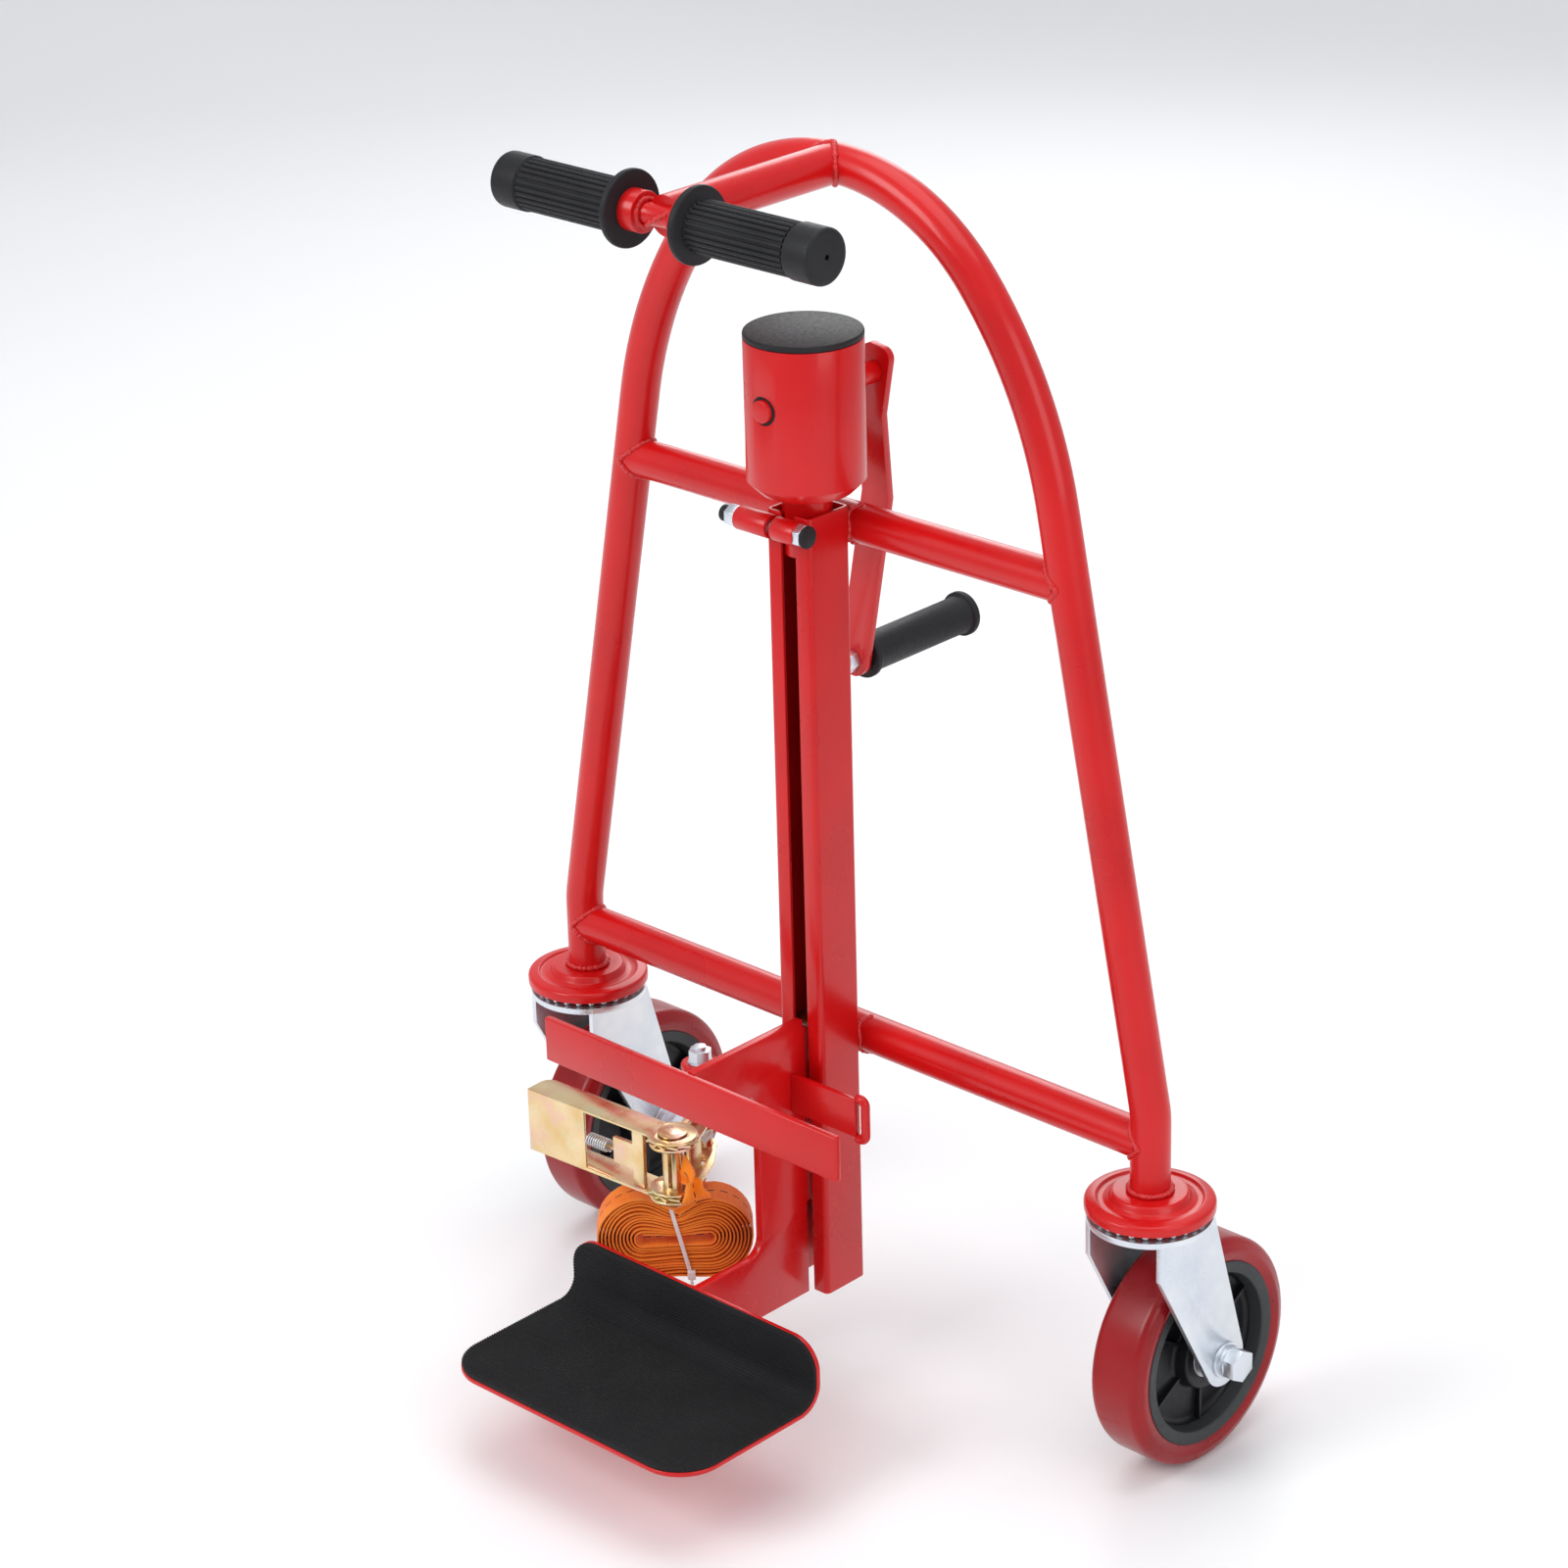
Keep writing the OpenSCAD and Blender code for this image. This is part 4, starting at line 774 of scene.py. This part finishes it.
# ---------- toe mat ribs ----------
mat_lo, mat_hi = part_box("toe_mat")
MAT_T, RIB_PITCH, PLATE_BEND = 0.002, 0.0021, 0.018
MAT_TOP = mat_lo.z + MAT_T
CORNER, BEND_IN, CURL = 0.0294, 0.013, 0.020      # front corners, inside of the bend, upper corners
bend_y, bend_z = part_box("toe_plate")[1].y - PLATE_BEND, MAT_TOP + BEND_IN
half_w = mat_hi.x
ribs = []
for y in np.arange(mat_lo.y + 0.003, bend_y, RIB_PITCH):
    front = y - mat_lo.y
    w = half_w if front > CORNER else half_w - CORNER + math.sqrt(CORNER ** 2 - (CORNER - front) ** 2)
    ribs.append(((0, y, MAT_TOP), w))
for a in np.arange(0.08, math.pi / 2, 0.155):
    ribs.append(((0, bend_y + BEND_IN * math.sin(a), bend_z - BEND_IN * math.cos(a)), half_w))
for z in np.arange(bend_z, mat_hi.z - 0.001, RIB_PITCH):
    top = mat_hi.z - z
    w = half_w if top > CURL else half_w - CURL + math.sqrt(max(0, CURL ** 2 - (CURL - top) ** 2))
    ribs.append(((0, bend_y + BEND_IN, z), w))
seed = bpy.data.meshes.new("mat_rib_seed")
seed.from_pydata([p for p, w in ribs], [], [])
seed.attributes.new("wide", "FLOAT", "POINT").data.foreach_set("value", [w for p, w in ribs])
rib = Tree("mat_ribs", {"thick": 0.0006})
wide = rib.add("InputNamedAttribute", {"data_type": "FLOAT"}, Name="wide")
bar = rib.add("MeshCylinder", Vertices=8, Side_Segments=1, Radius=rib.size("thick"), Depth=2.0)
size = rib.add("ShaderNodeCombineXYZ", X=1.0, Y=1.0, Z=wide.outputs[0])
put_on = rib.add("InstanceOnPoints", Points=rib.inp.outputs[0], Instance=bar.outputs[0],
                 Scale=size.outputs[0], Rotation=(0, math.pi / 2, 0))
rib.finish(put_on.outputs[0], MAT)
grown("toe_mat_ribs", rib, {"thick": 0.0006}, "carriage", start=seed)

# ---------- casters ----------
balls = ring_tree("race_balls", STEEL)
ribbed = Tree("hub_ribs", {"count": 12, "ring": 0.034, "long": 0.024, "thick": 0.003, "deep": 0.004})
points = ribbed.add("MeshCircle", Vertices=ribbed.size("count"), Radius=ribbed.size("ring"))
where = ribbed.add("InputPosition")
turned = ribbed.add("FunctionNodeAlignEulerToVector", {"axis": "X"}, Vector=where.outputs[0])
rib_size = ribbed.add("ShaderNodeCombineXYZ", X=ribbed.size("long"), Y=ribbed.size("thick"),
                      Z=ribbed.size("deep"))
web = ribbed.add("MeshCube", Size=rib_size.outputs[0])
ribbed.finish(ribbed.add("InstanceOnPoints", Points=points.outputs[0], Instance=web.outputs[0],
                         Rotation=turned.outputs[0]).outputs[0], HUB)

TREAD_T, RIM_FROM = 0.014, 0.0506      # tread thickness; the rim's own colour starts at this radius
for s, side in ((-1, "left"), (1, "right")):
    axis = Vector((s * TRACK, hoop_y, 0))
    swivel, wheel = side + "_swivel", side + "_wheel"
    lo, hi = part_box(side + "_race_plate")
    r_out, z0, z1 = (hi.x - lo.x) / 2, lo.z, hi.z
    bm = bmesh.new()
    h = z1 - z0
    profile = rounded([(0.011, z0 + 0.002), (0.028, z0 + 0.002), (0.030, z0 + 0.005),
                       (r_out - 0.003, z0 + 0.005), (r_out - 0.002, z0), (r_out, z0),
                       (r_out, z0 + h * 0.52), (r_out - 0.007, z0 + h * 0.62),
                       (r_out - 0.0085, z0 + h * 0.50), (0.029, z0 + h * 0.50), (0.0255, z0 + h * 0.60),
                       (0.0235, z1 - 0.0008), (0.011, z1 - 0.0008)],
                      [0, 0.001, 0.001, 0.001, 0, 0.0008, 0.0028, 0.001, 0.0012, 0.002, 0.0015, 0.002, 0])
    lathe(bm, [(r, z) for r, z in profile], axis, "Z", around=96, closed=True)
    outward(bm)
    race_slot = SLOT[side + "_race_plate"]
    piece(side + "_race_finished", bm, FINISH[race_slot], "frame", side + "_race_plate")

    lo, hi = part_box(side + "_balls")
    ring_z = (lo.z + hi.z) / 2
    ball = (hi.z - lo.z) / 2 - 0.0001
    grown(side + "_ball_ring", balls,
          {"count": 26, "circle": (hi.x - lo.x) / 2 - ball, "ball": ball}, swivel,
          side + "_balls", place=Matrix.Translation((axis.x, axis.y, ring_z)))

    c = Vector(joint(side + "_wheel_turn")["pos_m"])
    lo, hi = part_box(side + "_tread")
    R, W = (hi.z - lo.z) / 2, (hi.x - lo.x) / 2
    HUB_R = R - TREAD_T
    bm = bmesh.new()
    profile = rounded([(HUB_R - 0.0004, -W + 0.002), (HUB_R + 0.002, -W + 0.001), (HUB_R + 0.0055, -W),
                       (R, -W + 0.0035), (R, W - 0.0035),
                       (HUB_R + 0.0055, W), (HUB_R + 0.002, W - 0.001), (HUB_R - 0.0004, W - 0.002)],
                      [0, 0.001, 0.004, 0.013, 0.013, 0.004, 0.001, 0], steps=9)
    lathe(bm, profile, c, "X", around=128, closed=True)
    outward(bm)
    piece(side + "_tyre", bm, TREAD, wheel, side + "_tread", crease=50)

    hub_w = (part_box(side + "_hub")[1].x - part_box(side + "_hub")[0].x) / 2
    lo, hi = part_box(side + "_hub")
    bm = bmesh.new()
    face = [(0.0162, 0.0), (0.0162, hub_w - 0.0005), (0.0235, hub_w - 0.0005), (0.0245, hub_w - 0.0105),
            (0.0500, hub_w - 0.0125), (0.0525, hub_w - 0.0008), (HUB_R - 0.0005, hub_w + 0.0002),
            (HUB_R - 0.0005, 0.0)]
    turns = [0, 0.0008, 0.0022, 0.003, 0.004, 0.0016, 0.0008, 0]
    outer = rounded(face, turns)
    mirror = [(r, -x) for r, x in outer[::-1]]
    loop = outer + mirror
    faces = lathe(bm, loop, c, "X", around=96, closed=True)
    for f in faces:
        spot = f.calc_center_median() - c
        if math.hypot(spot.y, spot.z) > RIM_FROM:
            f.material_index = 1
    outward(bm)
    piece(side + "_wheel_centre", bm, [HUB, RIM], wheel, side + "_hub")
    for t, face_side in ((-1, "inner"), (1, "outer")):
        flat_on = (Matrix.Translation((c.x + t * (hub_w - 0.0115), c.y, c.z))
                   @ Matrix.Rotation(math.pi / 2, 4, "Y"))
        grown(f"{side}_{face_side}_hub_ribs", ribbed,
              {"count": 6, "ring": 0.0370, "long": 0.0265, "thick": 0.0022, "deep": 0.0075},
              wheel, place=flat_on)

# ---------- the strap: folded into a bundle, its end running up to the spool ----------
b_lo, b_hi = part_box("strap_bundle")
bundle = (b_lo + b_hi) / 2
TILT = math.radians(45)
B_X, B_Y = Vector((math.cos(TILT), math.sin(TILT), 0)), Vector((0, 0, 1))      # along and up the bundle
B_Z = Vector((math.sin(TILT), -math.cos(TILT), 0))                             # across the webbing
STRAP_W, STRAP_T = 0.025, 0.0014
TURNS, R_IN, R_OUT, LOBE = 11.5, 0.003, 0.0302, 0.021
rng = np.random.default_rng(7)
shift = rng.uniform(-0.0006, 0.0006, 16)


def folded_point(u):
    """A point on the folded strap; u counts turns from the innermost fold."""
    r = R_IN + (R_OUT - R_IN) * u / TURNS
    q = (u % 1) * 4
    if q < 1:
        a = math.pi * (q - 0.5)
        x, y = LOBE + r * math.cos(a), r * math.sin(a)
    elif q < 2:
        x, y = LOBE * (1 - 2 * (q - 1)), r
    elif q < 3:
        a = math.pi * (q - 2) + math.pi / 2
        x, y = -LOBE + r * math.cos(a), r * math.sin(a)
    else:
        x, y = -LOBE + LOBE * 2 * (q - 3), -r
    x = -x
    waist = math.exp(-(x / 0.013) ** 2)
    y *= 1 - (0.36 if y > 0 else 0.06) * waist
    y += 0.0006 * math.sin(5.1 * u + 60 * x) * min(1, u / 3)
    z = float(np.interp(u, np.arange(16), shift))
    return bundle + B_X * x + B_Y * y + B_Z * z


def smooth_through(points, per=10):
    """Catmull-Rom points through the given ones, starting at the second."""
    out = []
    for a, b, c, d in zip(points, points[1:], points[2:], points[3:] + [points[-1] * 2 - points[-2]]):
        for k in range(per):
            t = k / per
            square, cube = a * 2 - b * 5 + c * 4 - d, b * 3 - a - c * 3 + d
            out.append(0.5 * ((b * 2) + (c - a) * t + square * t * t + cube * t ** 3))
    out.append(points[-1])
    return out


END_U = TURNS - 0.02
coils = [folded_point(u) for u in np.linspace(0.25, END_U, 780)]
# millimetres from the spool's axis, and above the floor
RISE = ((-12, 16, 134), (3, 9, 139), (16, 2, 147), (19.4, -1.4, 156), (17.6, -1.5, 165.5), (7.6, -0.5, 168.5))
rise = [spool + Vector((x * MM, y * MM, z * MM - spool.z)) for x, y, z in RISE]
tail = smooth_through([coils[-8], coils[-1]] + rise, per=10)
line = coils[:-1] + tail
n_tail = len(tail)
widths, across = [], []
UP = Vector((0, 0, 1))
for i, p in enumerate(line):
    t = (i - (len(line) - n_tail)) / (n_tail - 1)
    tangent = (line[min(i + 1, len(line) - 1)] - line[max(i - 1, 0)]).normalized()
    if t <= 0:
        want, w = B_Z, 1.0
    else:
        side = Vector((-0.35, -0.94, 0)).normalized() * -1
        if t < 0.55:
            want = B_Z.slerp(-side, t / 0.55)
        else:
            k = min(1, (t - 0.55) / 0.4)
            want = (-side).slerp(UP, k * k * (3 - 2 * k))
        w = 1 - 0.52 * math.exp(-((t - 0.74) / 0.2) ** 2)
    want = (want - tangent * want.dot(tangent)).normalized()
    across.append(want)
    widths.append(STRAP_W * w)

ACROSS = 8
bm = bmesh.new()
layer = bm.loops.layers.uv.new("weave")
run_v, rows = 0.0, []
for i, p in enumerate(line):
    if i:
        run_v += (p - line[i - 1]).length
    tangent = (line[min(i + 1, len(line) - 1)] - line[max(i - 1, 0)]).normalized()
    out = tangent.cross(across[i]).normalized()
    gathered = 1 - widths[i] / STRAP_W
    row = []
    for face in (1, -1):
        for k in range(ACROSS + 1):
            u = k / ACROSS
            fold = gathered * 0.004 * math.sin(u * 3 * math.pi)
            edge = 1 - 0.35 * max(0, abs(2 * u - 1) - 0.8) / 0.2
            skin = face * STRAP_T / 2 * edge + fold
            row.append(bm.verts.new(p + across[i] * (u - 0.5) * widths[i] + out * skin))
    rows.append((row, run_v))
n = ACROSS + 1
for (a, va), (b, vb) in zip(rows, rows[1:]):
    for k in range(ACROSS):
        for off, flip in ((0, False), (n, True)):
            quad = [(a[off + k], k, va), (a[off + k + 1], k + 1, va),
                    (b[off + k + 1], k + 1, vb), (b[off + k], k, vb)]
            if flip:
                quad = quad[::-1]
            f = bm.faces.new([v for v, _, _ in quad])
            for loop, (_, kk, vv) in zip(f.loops, quad):
                loop[layer].uv = (kk / ACROSS, vv)
    for k in (0, ACROSS):
        quad = [(a[k], va), (b[k], vb), (b[n + k], vb), (a[n + k], va)]
        f = bm.faces.new([v for v, _ in (quad if k == 0 else quad[::-1])])
        for loop, (_, vv) in zip(f.loops, quad if k == 0 else quad[::-1]):
            loop[layer].uv = (k / ACROSS, vv)
for row, flip in ((rows[0][0], False), (rows[-1][0], True)):
    loop_verts = row[:n] + row[n:][::-1]
    bm.faces.new(loop_verts[::-1] if not flip else loop_verts)
outward(bm)
strap = piece("orange_strap", bm, WEBBING, "ratchet", "strap_bundle", crease=60)

# ---------- cable tie round the bundle ----------
SIDE, TOP_Y, BOTTOM_Y, HEAD_X = 0.0134, 0.0400, -0.0318, 0.009
corner = 0.004      # how far the band cuts each corner of the bundle
loop = []


def tie_corner(y, z, sy, sz, x):
    cy, cz = y - sy * corner, z - sz * corner
    start = {(1, 1): 0, (1, -1): 90, (-1, -1): 180, (-1, 1): 270}[(sy, sz)]
    for k in range(7):
        a = math.radians(start + 15 * k)
        loop.append((x, cy + corner * math.sin(a), cz + corner * math.cos(a)))


tie_corner(TOP_Y, SIDE, 1, 1, -0.006)
tie_corner(TOP_Y, -SIDE, 1, -1, -0.004)
tie_corner(BOTTOM_Y, -SIDE, -1, -1, 0.002)
tie_corner(BOTTOM_Y, SIDE, -1, 1, HEAD_X)
full = []
for a, b in zip(loop, loop[1:] + loop[:1]):
    steps = max(1, int((Vector(b) - Vector(a)).length / 0.003))
    full += [Vector(a).lerp(Vector(b), k / steps) for k in range(steps)]
band_points = [bundle + B_X * x + B_Y * y + B_Z * z for x, y, z in full]
bm = bmesh.new()
rings = []
TIE_HALF_W, TIE_HALF_T = 0.0013, 0.00055
TIE_SECTION = ((-1, -0.6), (-0.7, -1), (0.7, -1), (1, -0.6), (1, 0.6), (0.7, 1), (-0.7, 1), (-1, 0.6))
for i, p in enumerate(band_points):
    t = (band_points[(i + 1) % len(band_points)] - band_points[i - 1]).normalized()
    side = (B_X - t * B_X.dot(t)).normalized()
    out = t.cross(side).normalized()
    rings.append([bm.verts.new(p + side * TIE_HALF_W * a + out * TIE_HALF_T * b) for a, b in TIE_SECTION])
for a, b in zip(rings, rings[1:] + rings[:1]):
    for k in range(len(TIE_SECTION)):
        after = (k + 1) % len(TIE_SECTION)
        bm.faces.new((a[k], a[after], b[after], b[k]))
outward(bm)
piece("cable_tie_band", bm, NYLON, "ratchet", "zip_tie")
bm = bmesh.new()
bmesh.ops.create_cube(bm, size=1.0)
for v in bm.verts:
    v.co = (bundle + B_X * (HEAD_X + v.co.x * 0.0052) + B_Y * (BOTTOM_Y + 0.0055 + v.co.y * 0.006)
            + B_Z * (SIDE + 0.0002 + v.co.z * 0.0042))
bmesh.ops.bevel(bm, geom=bm.edges[:], offset=0.0007, segments=3, profile=0.6, affect="EDGES")
bmesh.ops.recalc_face_normals(bm, faces=bm.faces)
piece("cable_tie_head", bm, NYLON, "ratchet")
bm = bmesh.new()
stub = bundle + B_X * HEAD_X + B_Y * (BOTTOM_Y + 0.001) + B_Z * (SIDE + 0.001)
tube(bm, [stub, stub - B_Y * 0.004], [0.0011, 0.0010], around=8)
outward(bm)
piece("cable_tie_end", bm, NYLON, "ratchet")

# ---------- floor, backdrop and light ----------
def plain_pale():
    f = Finish("pale_floor", Roughness=0.75)
    f.feed("Base Color", f.mix(f.noise(0.8, 2).fit(0.3, 0.7), (0.90, 0.90, 0.90), (0.93, 0.93, 0.93)))
    return f.mat


bm = bmesh.new()
FLAT, COVE = 3.2, 1.6      # where the floor starts to turn up, and the turn's radius
sweep = [(-9.0, 0.0), (FLAT, 0.0)]
sweep += [(FLAT + COVE * math.sin(a), COVE - COVE * math.cos(a)) for a in np.linspace(0.05, math.pi / 2, 24)]
sweep += [(FLAT + COVE, 7.0)]
facing = Vector((camera.location.x, camera.location.y, 0)).normalized()
sideways = Vector((-facing.y, facing.x, 0))
left = [bm.verts.new(-facing * d + sideways * 9 + Vector((0, 0, z))) for d, z in sweep]
right = [bm.verts.new(-facing * d - sideways * 9 + Vector((0, 0, z))) for d, z in sweep]
for k in range(len(sweep) - 1):
    bm.faces.new((left[k], left[k + 1], right[k + 1], right[k]))
mesh = bpy.data.meshes.new("backdrop")
bm.to_mesh(mesh)
bm.free()
mesh.shade_smooth()
mesh.materials.append(plain_pale())
backdrop = bpy.data.objects.new("backdrop", mesh)
bpy.context.scene.collection.objects.link(backdrop)

world = bpy.data.worlds.new("soft_room")
bpy.context.scene.world = world
world.use_nodes = True
world.node_tree.nodes["Background"].inputs["Color"].default_value = (0.93, 0.95, 1.0, 1)
world.node_tree.nodes["Background"].inputs["Strength"].default_value = 0.62


def softbox(name, at, watts, size, look=(0, 0, 0.4)):
    data = bpy.data.lights.new(name, "AREA")
    data.energy, data.shape, data.size, data.size_y = watts, "RECTANGLE", size[0], size[1]
    light = bpy.data.objects.new(name, data)
    bpy.context.scene.collection.objects.link(light)
    light.location = at
    aim(light, look)


softbox("key_left", (-0.9, -2.6, 2.4), 46, (1.5, 1.5))
softbox("fill_right", (2.8, -0.3, 1.6), 20, (1.6, 2.0))
softbox("top", (0.1, 0.3, 3.0), 30, (2.6, 2.0))
softbox("rear_edge", (-1.6, 2.2, 1.7), 16, (1.0, 1.8))
